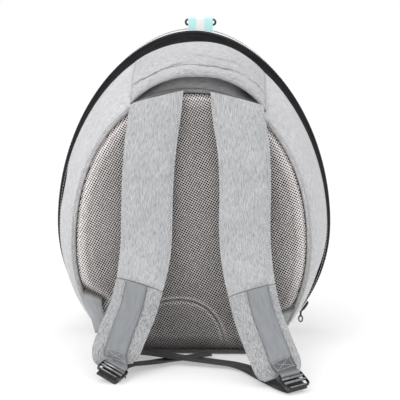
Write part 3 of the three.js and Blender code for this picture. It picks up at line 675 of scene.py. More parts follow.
# Body of the carrier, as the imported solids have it: columns y, half width, top, height of the widest
# place and reach below it
bodyRows = [
    (-112, 138, 312.5, 128, 153), (-102, 146, 322.5, 129, 156), (-81, 154, 336, 131, 160),
    (-54, 160, 348, 132.5, 164), (-24, 164.4, 360.5, 133, 167.5), (0, 170, 371.8, 133, 176),
    (24, 166, 375.5, 133, 172), (52, 160, 374.5, 134, 166), (82, 147, 360, 136, 160),
    (108, 127, 332, 139, 151), (129, 101, 295, 143, 130), (143, 69, 249, 148, 91),
    (150, 34, 200, 153, 45), (152, 3, 158, 155, 4),
]
eggRule = {"upper": 1.93, "lower": 2.0, "rounding": 12.0}


def eggPoints(row, angles, inset=0.0, upper=None, floorZ=0.0):
    y, halfWidth, top, wide, low = row
    side, rise = np.sin(angles), np.cos(angles)
    power = 2 / np.where(rise > 0, upper or eggRule["upper"], eggRule["lower"])
    reach = np.where(rise > 0, top - wide, low) - inset
    x = (halfWidth - inset) * np.sign(side) * np.abs(side) ** power
    z = wide + reach * np.sign(rise) * np.abs(rise) ** power
    base, turn = floorZ + inset, eggRule["rounding"]
    bend = np.where(z <= base - turn, base, base + (z - base + turn) ** 2 / (4 * turn))
    z = np.where(z >= base + turn, z, bend)
    return np.stack([x, np.full_like(x, y), z], -1)


def bodyAt(y):
    ys = [row[0] for row in bodyRows]
    return tuple(np.interp(y, ys, [row[i] for row in bodyRows]) for i in range(5))


def shellHeight(x, y):
    _, halfWidth, top, wide, _ = bodyAt(y)
    share = min(abs(x) / halfWidth, 1)
    return wide + (top - wide) * (1 - share ** eggRule["upper"]) ** (1 / eggRule["upper"])


# Dips: side, height, spread of height, depth, y and spread of y
shellCloth = {
    "wall": 3, "around": 180, "steps": 7, "backY": -112, "rimY": -24, "wrinkle": 0.55, "wrinkleSize": 46,
    "pucker": 0.7, "puckerSize": 9, "puckerReach": 11, "floorClear": 8, "floorFade": 20,
    "dips": [(-1, 186, 19, 2.6, -24, 15), (-1, 110, 40, 0.7, -24, 15), (1, 70, 34, 4.0, -46, 32)],
    "lip": [(-23.8, 3), (-23.3, 1.8), (-23.3, 0.4)], "closing": (0.985, 0.5, 0.01),
    "inside": (0.01, 0.35, 0.7, 1),
    "shade": {"x": 8, "halfWidth": 79, "fade": 70, "from": 32, "to": 58, "least": 0.02, "most": 0.9},
}


def shellShift(ring, y):
    push = np.zeros(len(ring))
    near = math.exp(-(y - shellCloth["backY"]) / shellCloth["puckerReach"])
    for i, point in enumerate(ring):
        high = max(0.0, min(1.0, (point[2] - shellCloth["floorClear"]) / shellCloth["floorFade"]))
        push[i] = shellCloth["wrinkle"] * noiseAt(point, shellCloth["wrinkleSize"], 1.3) * high
        push[i] += shellCloth["pucker"] * near * noiseAt(point, shellCloth["puckerSize"], 4.1) * high
        for hand, z, spread, depth, dipY, reach in shellCloth["dips"]:
            if hand * point[0] > 0:
                push[i] -= depth * math.exp(-((point[2] - z) / spread) ** 2 - ((y - dipY) / reach) ** 2)
    return push


# Painted shade under the yoke, deeper towards its two ends
def underYoke(points):
    shade = shellCloth["shade"]
    aside = np.abs(points[:, 0] - shade["x"])
    under = easeStep(-114, -96, points[:, 1]) * easeStep(shade["halfWidth"], shade["fade"], aside)
    under *= easeStep(290, 305, points[:, 2]) * easeStep(-30, -44, points[:, 1])
    return under * (shade["least"] + shade["most"] * easeStep(shade["from"], shade["to"], aside))


# Outer cloth and lining, joined by a lip at the rim and closed at the back
def makeShell():
    angles, wall = circle(shellCloth["around"]), shellCloth["wall"]
    backRows = [row for row in bodyRows if row[0] <= shellCloth["rimY"]]
    outerRows = smoothRun(backRows, shellCloth["steps"])[::-1]
    rings, shifts = [], {}
    for row in outerRows:
        ring = eggPoints(row, angles)
        out = unit(ring - np.array([0, row[0], row[3]]))
        out[:, 1] = 0
        shifts[row[0]] = out * shellShift(ring, row[0])[:, None]
        ring = ring + shifts[row[0]]
        ring[:, 2] = np.maximum(ring[:, 2], 0)
        rings.append(ring)
    rim, back = bodyAt(shellCloth["rimY"]), bodyAt(shellCloth["backY"])
    lip = [rings[0] + (eggPoints((y, *rim[1:]), angles, inset) - eggPoints(rim, angles))
           for y, inset in shellCloth["lip"]]
    middle = np.array([0, back[0], back[3]])
    closing = [middle + (eggPoints((back[0] - 0.05 * i, *back[1:]), angles) - middle) * share
               for i, share in enumerate(shellCloth["closing"])]
    inside = [middle + np.array([0, wall, 0]) + (eggPoints(back, angles, wall) - middle) * share
              for share in shellCloth["inside"]]
    innerRows = [row for row in outerRows[::-1] if row[0] > shellCloth["backY"] + wall]
    inner = [*inside, *(eggPoints(row, angles, wall) + shifts[row[0]] for row in innerRows)]
    shape = loft([*inner, *lip, *rings, *closing])
    lined = len(inner) * shellCloth["around"]
    crease = underYoke(shape[0])
    crease[:lined] = 0
    obj = makePiece("shellCloth", shape, finish["shellMelange"], crease=crease)
    obj.data.materials.append(finish["liningMelange"])
    for face in obj.data.polygons:
        face.material_index = int(min(face.vertices) < lined - shellCloth["around"])
    return dress(obj, "carrier", "shell_cloth", "back_shell", "shell_floor")


clearDome = {"wall": 2.5, "around": 180, "steps": 6, "rim": 8, "insideLeast": 8, "nose": (100, 150)}


def makeDome():
    angles = circle(clearDome["around"])
    rim = clearDome["rim"]
    rows = smoothRun([bodyAt(rim), *(row for row in bodyRows if row[0] > rim)], clearDome["steps"])
    outer = [eggPoints(row, angles) for row in rows]
    wall = clearDome["wall"]
    insideRows = [row for row in rows if row[1] > clearDome["insideLeast"]]
    inner = [eggPoints((row[0] - wall * easeStep(*clearDome["nose"], row[0]), *row[1:]), angles, wall)
             for row in insideRows]
    obj = makePiece("clearDome", loft([*inner[::-1], *outer]), finish["clearPlastic"])
    return dress(obj, "carrier", "clear_dome", "front_dome", "dome_floor")


zipBand = {
    "reach": 23.7, "rim": 7.7, "beside": 2.2, "endAngle": 132, "wall": 2.0, "around": 200, "across": 8,
    "sag": 0.35, "pitch": 1.55, "toothAcross": 1.55, "toothAlong": 0.62, "toothHeight": 0.95,
    "toothOffset": 0.55, "endGap": 0.6, "coilRise": 0.7, "coreShort": 0.25, "coreWall": 0.8,
    "seams": (-20.5, 6.2), "seamLift": 0.25, "hem": -27.5, "hemLift": 0.35,
}


def bandShape(fromY, toY, fromAngle, toAngle, steps, wall, sag=0.0):
    angles = np.linspace(fromAngle, toAngle, steps)
    depths = np.linspace(fromY, toY, zipBand["across"])
    dips = sag * np.sin(np.linspace(0, np.pi, zipBand["across"]))
    outer = [eggPoints(bodyAt(y), angles, dip) for y, dip in zip(depths, dips)]
    inner = [eggPoints(bodyAt(y), angles, wall) for y in depths[::-1]]
    return loft(np.swapaxes(np.array([*outer, *inner]), 0, 1))


def makeZip():
    end = math.radians(zipBand["endAngle"])
    sewn, rim, beside, wall = zipBand["reach"], zipBand["rim"], zipBand["beside"], zipBand["wall"]
    tapes = {"zipTapeBack": (-sewn, -beside, "zip_tape_back"),
             "zipTapeFront": (beside, rim, "zip_tape_front")}
    for name, (fromY, toY, node) in tapes.items():
        shape = bandShape(fromY, toY, -end, end, zipBand["around"], wall, zipBand["sag"])
        dress(makePiece(name, shape, finish["tapeWebbing"]), "carrier", "zip_tape", node)
    middle = bodyAt(0)
    path = eggPoints(middle, np.linspace(-end, end, 420), wall / 2 - zipBand["coilRise"])
    teeth = runTree(pathPiece("zipCoil", [path]), zipTeeth, {
        "Pitch": zipBand["pitch"] * mm, "Across": zipBand["toothAcross"] * mm,
        "Along": zipBand["toothAlong"] * mm, "Height": zipBand["toothHeight"] * mm,
        "Offset": zipBand["toothOffset"] * mm, "Coil": finish["coil"]})
    dress(teeth, "carrier", "zip_coil", "zip_coil")
    inside = beside - zipBand["coreShort"]
    core = bandShape(-inside, inside, -end, end, zipBand["around"], wall * zipBand["coreWall"])
    dress(makePiece("zipCore", core, finish["tapeWebbing"]), "carrier", "zip_tape")
    start = end + zipBand["endGap"] / middle[1]
    strip = bandShape(-sewn, rim, start, 2 * math.pi - start, 90, wall)
    obj = dress(makePiece("baseHingeStrip", strip, finish["shellMelange"]), "carrier", "shell_cloth",
                "base_hinge_strip")
    run = np.linspace(-end, end, 300)
    sew("zipTapeStitches", [eggPoints(bodyAt(y), run, -zipBand["seamLift"]) for y in zipBand["seams"]])
    sew("shellRimStitches", [eggPoints(bodyAt(zipBand["hem"]), run, -zipBand["hemLift"])])


makeShell()
makeDome()
makeZip()
print("shell, dome and zip made")


# Padded mesh panel with its sewn lumbar arc, and the piping round it
meshPanel = {
    "halfWidth": 133.5, "top": 307.5, "wide": 128, "low": 153, "floor": 6.8, "power": 2.15, "backY": -112,
    "crown": [(0, 14.8), (0.25, 14.6), (0.55, 13.8), (0.82, 11.8), (0.94, 8.6), (0.985, 5.2), (1, 1.8)],
    "rings": 60, "around": 240, "pitch": 3.6, "turn": 16, "lift": 0.55, "relief": 0.13, "close": 0.45,
    "holeWide": 0.375, "holeSlant": 0.292, "soften": 0.02, "least": 0.6, "paintedEdgeShade": 0.3,
    # stretch is painted light on the panel's upper sides; lowShades, the edge shade and the arc's and tuck's
    # dark are painted shade
    "stretch": {"pale": 0.13, "x": (55, 100), "z": (60, 110)}, "lowShades": [(30, 8, 0.75), (120, 40, 0.2)],
    "arc": {"x": -15, "halfWidth": 54.5, "foot": 2, "height": 66, "depth": 2.0, "spread": 2.2, "dark": 0.85,
            "power": 2.3, "reach": 58, "rim": (0.5, 9, 5)},
    "tuck": {"from": (-128, 81), "to": (-101, 66.5), "spread": 5.5, "depth": 3.0, "dark": 0.95},
}


def panelShare(x, z):
    up = np.where(z > meshPanel["wide"], meshPanel["top"] - meshPanel["wide"], meshPanel["low"])
    power = np.where(z > meshPanel["wide"], meshPanel["power"], 2.0)
    rise = np.abs(z - meshPanel["wide"]) / up
    share = ((np.abs(x) / meshPanel["halfWidth"]) ** power + rise ** power) ** (1 / power)
    return np.maximum(share, (meshPanel["wide"] - z) / (meshPanel["wide"] - meshPanel["floor"]))


def arcDip(x, z):
    arc = meshPanel["arc"]
    power, (rimHigh, rimAt, rimSpread) = arc["power"], arc["rim"]
    across = np.abs(x - arc["x"]) / arc["halfWidth"]
    rise = np.maximum(z - arc["foot"], 0) / arc["height"]
    away = ((across ** power + rise ** power) ** (1 / power) - 1) * arc["reach"]
    groove = np.exp(-(away / arc["spread"]) ** 2)
    return arc["depth"] * groove - rimHigh * np.exp(-((np.abs(away) - rimAt) / rimSpread) ** 2), groove


# The corner tab is sewn in along this line
def tuckAt(x, z):
    a, b = (np.array(meshPanel["tuck"][key], float) for key in ("from", "to"))
    way = (b - a) / np.linalg.norm(b - a)
    along = np.clip((x - a[0]) * way[0] + (z - a[1]) * way[1], 0, np.linalg.norm(b - a))
    away = np.hypot(x - a[0] - along * way[0], z - a[1] - along * way[1])
    return np.exp(-(away / meshPanel["tuck"]["spread"]) ** 2)


# Painted shade in the lumbar arc, along the corner tab's seam, towards the hem and at the edge; the stretch
# entry paints the upper sides lighter, as painted light
def panelShade(x, z):
    arc, tuck, stretch = meshPanel["arc"], meshPanel["tuck"], meshPanel["stretch"]
    share = np.clip(panelShare(x, z), 0, 1)
    shade = np.maximum(arc["dark"] * arcDip(x, z)[1], tuck["dark"] * tuckAt(x, z))
    shade = np.maximum(shade, shadeOf(meshPanel["lowShades"], z))
    paintedSideLight = stretch["pale"] * easeStep(*stretch["x"], np.abs(x)) * easeStep(*stretch["z"], z)
    return np.maximum(shade, meshPanel["paintedEdgeShade"] * easeStep(0.98, 0.998, share)) - paintedSideLight


def panelProud(x, z):
    shares, prouds = zip(*meshPanel["crown"])
    share, soften = np.clip(panelShare(x, z), 0, 1), meshPanel["soften"]
    soft = 0.5 * (np.interp(share - soften, shares, prouds)
                  + np.interp(np.minimum(share + soften, 1), shares, prouds))
    soft = soft - meshPanel["tuck"]["depth"] * tuckAt(x, z)
    return np.maximum(soft - arcDip(x, z)[0] * easeStep(1.0, 0.88, share), meshPanel["least"])


def makePanel():
    outline = tuple(meshPanel[key] for key in ("backY", "halfWidth", "top", "wide", "low"))
    angles = circle(meshPanel["around"])
    edge = eggPoints(outline, angles, 0, meshPanel["power"], meshPanel["floor"])
    middle = np.array([0, meshPanel["backY"], meshPanel["wide"]])
    rings = [middle + (edge - middle) * 0.985 + np.array([0, -0.4, 0])]
    for share in np.concatenate([[1], np.linspace(0.995, 0.02, meshPanel["rings"])]):
        ring = middle + (edge - middle) * share
        ring[:, 1] = meshPanel["backY"] - panelProud(ring[:, 0], ring[:, 2])
        rings.append(ring)
    points = np.array(rings).reshape(-1, 3)
    shade = panelShade(points[:, 0], points[:, 2])
    pad = makePiece("meshPanelPad", loft(rings), finish["meshFoam"], crease=shade)
    dress(pad, "carrier", "air_mesh", "back_panel")
    face = runTree(addObject("meshPanelFace", pad.data.copy()), meshFace, faceValues())
    dress(face, "carrier", "air_mesh")
    print("  mesh face has", len(face.data.polygons), "faces")


# One diamond cell round its hole, in shares of the pitch
def meshCell():
    outer = [(0.5, 0), (0.25, 0.25), (0, 0.5), (-0.25, 0.25), (-0.5, 0), (-0.25, -0.25), (0, -0.5),
             (0.25, -0.25)]
    hole = []
    for k in range(8):
        reach = meshPanel["holeWide"] if k % 2 == 0 else meshPanel["holeSlant"]
        hole.append((reach * math.cos(k * math.pi / 4), reach * math.sin(k * math.pi / 4)))
    points = [(x, y, 0) for x, y in outer] + [(x, y, -meshPanel["relief"]) for x, y in hole]
    faces = [(k, (k + 1) % 8, 8 + (k + 1) % 8, 8 + k) for k in range(8)]
    mesh = bpy.data.meshes.new("meshCell")
    mesh.from_pydata(points, [], faces)
    inward = [(0, 0, 0)] * 8 + [(x, 0, y) for x, y in hole]
    mesh.attributes.new("inward", "FLOAT_VECTOR", "POINT").data.foreach_set("vector", np.ravel(inward))
    return addObject("meshCell", mesh)


def faceValues():
    pitch = meshPanel["pitch"]
    turn = math.radians(meshPanel["turn"])
    wide, high = 2 * meshPanel["halfWidth"], meshPanel["top"] - meshPanel["floor"]
    columns = int((wide * math.cos(turn) + high * math.sin(turn)) / pitch) + 2
    rows = int((high * math.cos(turn) + wide * math.sin(turn)) / pitch) + 2
    middle = (0, (meshPanel["backY"] - 60) * mm, (meshPanel["top"] + meshPanel["floor"]) / 2 * mm)
    return {"Pitch": pitch * mm, "Width": (columns - 1) * pitch * mm, "Height": (rows - 1) * pitch * mm,
            "Columns": columns, "Rows": rows, "Middle": middle, "Turn": -turn, "Lift": meshPanel["lift"] * mm,
            "Close": meshPanel["close"], "Cell": meshCell(), "Strand": finish["meshStrand"]}


panelPiping = {"radius": 3.0, "spread": 3.3, "around": 260, "sides": 24, "slack": 0.15, "wander": 0.35,
               "wanderSize": 14, "paintedTuckShade": [(0.35, 1.1, 0.4), (0.25, 1.95, 0.3)], "seamOut": 1.2,
               "seamProud": 2.75, "shades": [(230, 90, 0.24), (24, 6, 0.95), (285, 297, 0.6)]}


def makePiping():
    spread = panelPiping["spread"]
    row = (meshPanel["backY"] - spread, meshPanel["halfWidth"] + spread, meshPanel["top"] + spread,
           meshPanel["wide"], meshPanel["low"] + spread)
    angles = circle(panelPiping["around"])
    line = eggPoints(row, angles, 0, meshPanel["power"], meshPanel["floor"] - spread)
    along = unit(np.roll(line, -1, 0) - np.roll(line, 1, 0))
    out = unit(np.cross(along, (0, 1, 0)))
    rings, turns = [], circle(panelPiping["sides"])
    for spot, side in zip(line, out):
        swell = panelPiping["wander"] * noiseAt(spot, panelPiping["wanderSize"], 6.2)
        size = min(panelPiping["radius"] - panelPiping["slack"] + swell, panelPiping["radius"])
        rings.append([spot + side * math.cos(t) * size + np.array([0, math.sin(t) * size, 0]) for t in turns])
    # Painted shade in the tucks on each side of the piping, and along it towards the bottom and under the
    # yoke
    tuck = sum(dark * np.exp(-((turns - at * np.pi) / spread) ** 2)
               for dark, at, spread in panelPiping["paintedTuckShade"])
    shade = shadeOf(panelPiping["shades"], line[:, 2])
    crease = np.clip(shade[:, None] + tuck[None, :], 0, 1).ravel()
    obj = makePiece("panelPiping", loft(rings, runClosed=True), finish["pipingMelange"], crease=crease)
    dress(obj, "carrier", "piping_cloth", "panel_piping")
    seam = line + out * panelPiping["seamOut"] + np.array([0, -panelPiping["seamProud"], 0])
    sew("pipingStitches", [np.vstack([seam, seam[:1]])])


makePanel()
makePiping()
print("mesh panel and piping made")


# Yoke over the hand opening, with a sewn line along its padded lip
yoke = {
    "shift": 8, "halfWidth": 78, "bow": 2.2, "endLift": 0.8, "spans": 120,
    "rows": [(-25.5, -26, -26, 360.4, 1), (-48, -46, -46, 352.6, 5.2), (-74, -65, -64, 346, 7),
             (-98, -82, -80, 338.5, 8), (-113.5, -96, -91, 332.5, 8.5), (-124, -104.5, -98.5, 327.4, 9.5)],
    # Each line's dark is painted shade along it; the border, underside and roll entries below are painted
    # shade too
    "seam": {"line": [(-1, 3.15), (-0.76, 3.75), (-0.4, 3.74), (-0.2, 3.8), (0.05, 4.1), (0.32, 4.03),
                      (0.6, 3.55), (0.86, 3.18), (1, 3.0)], "depth": 2.0, "spread": 0.075, "dark": 0.62},
    "tuck": {"line": [(-0.48, 3.68), (-0.32, 3.5), (-0.15, 3.5)], "depth": 1.1, "spread": 0.06, "dark": 0.6},
    "ridge": {"line": [(-0.03, 2.6), (0.17, 2.7), (0.31, 2.78), (0.53, 2.45)], "depth": -1.1, "spread": 0.13,
              "dark": 0.0},
    "foot": {"line": [(-0.03, 2.74), (0.17, 2.84), (0.31, 2.92), (0.53, 2.59)], "depth": 0.6, "spread": 0.09,
             "dark": 0.25},
    "before": 30, "around": 26, "after": 9, "roll": (-3.2, -3.4), "rollSteps": 9, "endTaper": 0.45,
    "lineFade": 0.12, "nearSeam": (0.5, 0.3), "swell": 0.7, "swellSize": 26, "border": 0.2, "paintedUnderShade": 0.4,
    "paintedRollShade": (0.6, 0.35),
}
yokeTable = smoothRun(yoke["rows"], 40)
yokeLines = {name: smoothRun(yoke[name]["line"], 8) for name in ("seam", "tuck", "ridge", "foot")}


def yokeAt(place):
    steps = np.linspace(0, len(yoke["rows"]) - 1, len(yokeTable))
    return np.array([np.interp(place, steps, yokeTable[:, k]) for k in range(5)])


# Depth and painted shade of one sewn or folded line where it passes a place on the yoke
def yokeLine(name, across, place):
    look, points = yoke[name], yokeLines[name]
    away = (place - np.interp(across, points[:, 0], points[:, 1])) / look["spread"]
    first, last = points[0, 0], points[-1, 0]
    ends = easeStep(first - yoke["lineFade"], first, across) * easeStep(last + yoke["lineFade"], last, across)
    share = math.exp(-away ** 2) * float(ends)
    return look["depth"] * share, look["dark"] * share


def yokeRings():
    rings, seam, paintedShadings = [], [], []
    last = len(yoke["rows"]) - 1
    line, (ahead, past) = yokeLines["seam"], yoke["nearSeam"]
    for across in np.linspace(-1, 1, yoke["spans"] + 1):
        fall = abs(across) ** yoke["bow"]
        x = yoke["shift"] + yoke["halfWidth"] * across
        endX = yoke["shift"] + yoke["halfWidth"] * np.sign(across)
        thin = 1 - yoke["endTaper"] * float(easeStep(0.84, 1, abs(across)))
        sewnAt = np.interp(across, line[:, 0], line[:, 1])
        first, second = sewnAt - ahead, sewnAt + past
        places = np.concatenate([np.linspace(0, first, yoke["before"], endpoint=False),
                                 np.linspace(first, second, yoke["around"], endpoint=False),
                                 np.linspace(second, last, yoke["after"])])
        lower, upper, dark = [], [], []
        for place in places:
            y, left, right, under, thick = yokeAt(place)
            endY = left if across < 0 else right
            endZ = shellHeight(endX, endY) + yoke["endLift"]
            point = np.array([x, y + (endY - y) * fall, under + (endZ - under) * fall])
            slope = yokeAt(min(place + 0.1, last)) - yokeAt(max(place - 0.1, 0))
            slope = unit(np.array([0, slope[0], slope[3]]))
            out = np.array([0, slope[2], -slope[1]])
            dips = [yokeLine(name, across, place) for name in yokeLines]
            dip = sum(d for d, _ in dips)
            swell = yoke["swell"] * noiseAt(point, yoke["swellSize"], 9.4) * min(1, thick / 5)
            lower.append(point)
            upper.append(point + out * (thick * thin - dip * thin + swell))
            # Painted shade at the two end borders and along the sewn and folded lines
            border = yoke["border"] * float(easeStep(0.965, 0.99, abs(across)))
            dark.append(max(border, max(d for _, d in dips) * (0.8 + 0.4 * noiseAt(point, 12, 2.2))))
        reach = np.array([0, *yoke["roll"]]) * thin
        roll, paintedRollShade = [], []
        # Painted shade on the underside and in the roll under the lip, deeper towards the ends
        paintedMiddleShade, paintedEndShade = yoke["paintedRollShade"]
        deepest = paintedMiddleShade + paintedEndShade * float(easeStep(0.6, 0.9, abs(across)))
        for k in range(1, yoke["rollSteps"]):
            turn = math.pi * k / yoke["rollSteps"]
            share = 0.5 - 0.5 * math.cos(turn)
            roll.append(lower[-1] + (upper[-1] - lower[-1]) * share + reach * math.sin(turn) * 1.15)
            paintedRollShade.append(deepest * (1 - share) ** 1.3)
        rings.append([*lower, *roll, *upper[::-1]])
        paintedShadings.append([*([yoke["paintedUnderShade"]] * len(lower)), *paintedRollShade, *dark[::-1]])
        seam.append(upper[int(np.argmin(np.abs(places - sewnAt - 0.1)))] + np.array([0, -0.12, 0.22]))
    return np.array(rings), np.array(seam), len(places), np.clip(paintedShadings, 0, 1)


def makeYoke():
    rings, seam, rows, paintedShadings = yokeRings()
    obj = makePiece("yokeHandle", loft(rings), finish["yokeMelange"], 60, paintedShadings.ravel())
    count = rings.shape[1]
    ringPlace = np.tile(np.arange(count), len(rings))
    across = np.repeat(np.linspace(-1, 1, len(rings)), count)
    upperPlace = count - 1 - ringPlace
    onTop = ringPlace >= count - rows
    ahead, past = yoke["nearSeam"]
    sewnAt = yoke["before"] + int(ahead / (ahead + past) * yoke["around"])
    sewn = (~onTop & (ringPlace < rows - 3)) | (np.abs(across) > 0.95)
    sewn |= onTop & (np.abs(upperPlace - sewnAt) < 3)
    sewn |= onTop & (upperPlace < 3)
    puff(obj, sewn, np.where(onTop | (ringPlace >= rows), 1.0, 0.3), pressure=3.0, cap=2.0)
    dress(obj, "carrier", "shell_cloth", "yoke_handle")
    sew("yokeStitches", [seam[4:-4]])


makeYoke()
print("yoke made")


# Shoulder straps: columns x, y, z, width, thickness and slant of the sewn top
straps = {
    "left": [(-37, -123.1, 304, 58, 7, 12), (-40.5, -129.6, 285, 59, 11, 0), (-46, -134, 245, 59, 12, 0),
             (-49, -136.5, 203, 58.5, 12, 0), (-50, -140, 163, 58.5, 12, 0), (-50.5, -145, 137, 58, 12, 0),
             (-53, -154, 115, 57, 12, 0), (-56, -162, 99, 55, 11, 0), (-63.5, -178, 71, 54, 12, 0),
             (-73, -192, 49, 54, 12, 0), (-80, -200.8, 32, 53, 11.5, 0), (-81.8, -202.8, 25.5, 52, 10.5, 0),
             (-82.2, -203.8, 19.5, 48, 9, 0), (-82, -204.4, 14.5, 39, 6.5, 0)],
    "right": [(52, -122.6, 302, 60, 7, -10.5), (54, -129.6, 284, 59, 11, 0), (60, -134, 245, 59, 12, 0),
              (62, -136.5, 203, 58.5, 12, 0), (61.5, -140, 166, 58.5, 12, 0), (62.5, -145, 137, 58, 12, 0),
              (65, -154, 115, 57, 12, 0), (69.5, -164, 91, 55, 11, 0), (76.5, -187, 66, 54, 12, 0),
              (86, -208, 45, 54, 12, 0), (94, -226, 28.6, 53, 11.5, 0), (97.5, -231, 22, 52, 10, 0),
              (100, -235, 16.8, 48, 8, 0), (101.5, -237.5, 12.8, 39, 5.5, 0)],
    "steps": 9, "edge": 1.5, "flange": 0.93, "crown": (3.2, 0.55), "sewnEdge": 0.88, "faceSteps": 23,
    "wrinkle": 0.35, "wrinkleSize": 26, "backReach": 0.15, "stitchAt": 0.9, "stitchLift": 0.25,
    "seamRow": 7, "seamTilt": {"left": 2.4, "right": -3.2}, "seamShift": {"left": 4.6, "right": 2.6},
    "seamDepth": 1.2, "seamSpread": 0.75, "seamReach": 30, "seamRows": 25, "paintedSeamShade": 0.62,
    "endTurn": {"left": -0.21, "right": 0.24}, "paintedEndShade": 0.1, "paintedBackShade": 0.2, "stripZone": 16,
}


def seamPlace(side, length):
    return length[straps["seamRow"] * straps["steps"]] + straps["seamShift"][side]


def runFrames(places, headings):
    ahead = np.vstack([places[1:], places[-1:]])
    behind = np.vstack([places[:1], places[:-1]])
    along = unit(ahead - behind)
    across = unit(headings - along * np.sum(headings * along, 1)[:, None])
    out = unit(-np.cross(across, along))
    return along, across, out


def padHeight(share, thick):
    inner = np.clip(np.abs(share) / straps["flange"], 0, 1)
    flatness, roundness = straps["crown"]
    crown = (1 - inner ** flatness) ** roundness
    return straps["edge"] + (thick / 2 + 0.2 - straps["edge"]) * crown


def strapRun(side):
    table = smoothRun(straps[side], straps["steps"])
    places = table[:, :3]
    turned = straps["endTurn"][side] * easeStep(len(places) - 40, len(places) - 8, np.arange(len(places)))
    _, across, out = runFrames(places, np.stack([np.ones(len(places)), 0 * turned, turned], -1))
    length = lengthsAlong(places)
    return table, places, across, out, length


# Rows close up at the seam below which the strip is sewn on, and slant with it
def makeStrap(side):
    table, places, across, out, length = strapRun(side)
    shares = np.sin(np.linspace(-1, 1, straps["faceSteps"]) * math.pi / 2)
    seamAt = seamPlace(side, length)
    stations = np.union1d(length, seamAt + np.linspace(-4, 4, straps["seamRows"]))
    columns = np.hstack([table, across, out])
    rings, sewn, reach, crease = [], [], [], []
    for at in stations:
        off = at - seamAt
        tied = at < length[3] or at > length[-5]
        slide = straps["seamTilt"][side] * math.exp(-(off / straps["seamReach"]) ** 2) * float(not tied)
        line = math.exp(-(off / straps["seamSpread"]) ** 2)
        front, back = [], []
        for share in shares:
            here = np.array([np.interp(at + slide * share, length, column) for column in columns.T])
            width, thick, slant = here[3:6]
            base = here[:3] + unit(here[6:9]) * share * width / 2 + np.array([0, 0, share * slant])
            high = padHeight(share, thick)
            swell = straps["wrinkle"] * noiseAt(base, straps["wrinkleSize"], 3.3) * (1 - abs(share) ** 4)
            sunk = straps["seamDepth"] * line * (1 - abs(share) ** 6)
            front.append(base + unit(here[9:]) * (high - sunk + swell))
            back.append(base - unit(here[9:]) * high)
            beside = share * width / 2 - webOutward(side, at / length[-1])
            # Painted shade in the cross seam and, a little, over the pad below it; the back takes painted
            # shade too
            crease.append(max(straps["paintedSeamShade"] * line, straps["paintedEndShade"] * float(easeStep(0, 4, off))))
            underStrip = off > 0 and abs(beside) < straps["stripZone"]
            sewn.append(tied or abs(share) > straps["sewnEdge"] or abs(off) < 3 or underStrip)
            reach.append(1.0)
        rings.append([*front, *back[::-1]])
        sewn += [tied or abs(share) > straps["sewnEdge"] for share in shares]
        reach += [straps["backReach"]] * len(shares)
        crease += [straps["paintedBackShade"]] * len(shares)
    obj = makePiece("strapPad_" + side, loft(rings), finish["strapMelange"], 60, crease)
    obj.data.materials.append(finish["strapEndMelange"])
    lower = int(np.searchsorted(stations, seamAt)) * 2 * len(shares)
    for face in obj.data.polygons:
        face.material_index = int(min(face.vertices) >= lower)
    puff(obj, np.array(sewn), np.array(reach), pressure=3.5, cap=1.6)
    dress(obj, "carrier", "strap_cloth", "strap_pad_" + side)
    sewStrap(side, table, places, across, out)


def sewStrap(side, table, places, across, out):
    runs = []
    for edge in (-straps["stitchAt"], straps["stitchAt"]):
        run = []
        for i in range(4, len(table) - 4):
            width, thick, slant = table[i, 3:6]
            base = places[i] + across[i] * edge * width / 2 + np.array([0, 0, edge * slant])
            run.append(base + out[i] * (padHeight(edge, thick) + straps["stitchLift"]))
        runs.append(run)
    sew("strapStitches", runs, "_" + side)


# Webbing: strips on the straps, tabs at the panel's corners and the dark runs through the buckles
webbing = {
    "width": 25, "wall": 1.4, "clear": 0.3, "stripOutward": {"left": (-3.8, 0.5), "right": (6, 5)},
    "boxWidth": 19, "boxLong": 11, "boxEnd": 3, "boxShade": {"left": 0.2, "right": 0.6},
    "boxFade": (-2, 1, 20, 14), "leaveRows": 17, "stripLift": 0.35, "endLift": 0.9, "endFade": 18,
    "seamFade": 16, "tailLean": {"left": 0.12, "right": 0.085}, "rootWidth": 15, "rootRows": 12,
    "fold": {"left": [(11.6, -1.4, 90), (9.5, -2.3, 172), (-2, -2.4, 180)], "right": []},
    "tabWall": 2.0, "tabCup": 2.2, "tabShades": [(0.2, 0.02, 0.75), (0.6, 1, 0.1)], "tabs": {
        "left": {"outer": [(-126, -118.5, 76.5), (-124, -123, 69), (-120.3, -131, 61.6),
                           (-113.5, -148, 51.9), (-107, -168, 40.5)],
                 "inner": [(-103, -121.5, 69), (-104.7, -128.5, 63.5), (-103.4, -137, 60.3),
                           (-98, -151, 52.5), (-86.5, -168, 41)]},
        "right": {"outer": [(117, -116.5, 59.5), (112, -120.5, 49.5), (107, -126, 42), (104.5, -146, 37),
                            (105, -173, 33)],
                  "inner": [(97, -121.5, 47), (95, -127, 44), (91.5, -137, 42), (88, -156, 37.5),
                            (85.4, -179, 33)]},
    },
    "tails": {
        "left": [(-79, -203, 8.4), (-72, -190.5, 8.6), (-64, -179.5, 6.8), (-54, -170.5, 5.4),
                 (-42, -163.5, 4.6), (-30, -155, 4.1), (-18, -147.5, 3.7), (-5, -141.5, 3.6), (9, -137.5, 5),
                 (24, -136, 7)],
        "right": [(106, -243, 1.2), (96, -228, 1.4), (84, -207, 1.5), (68, -180, 2), (50, -165.5, 3.2),
                  (28, -159, 4.3), (8, -154.5, 5.4), (-12, -150, 6.7), (-40, -141, 7.9), (-58, -136.5, 8.2),
                  (-72, -136, 8), (-84, -136, 7.6)],
    },
}
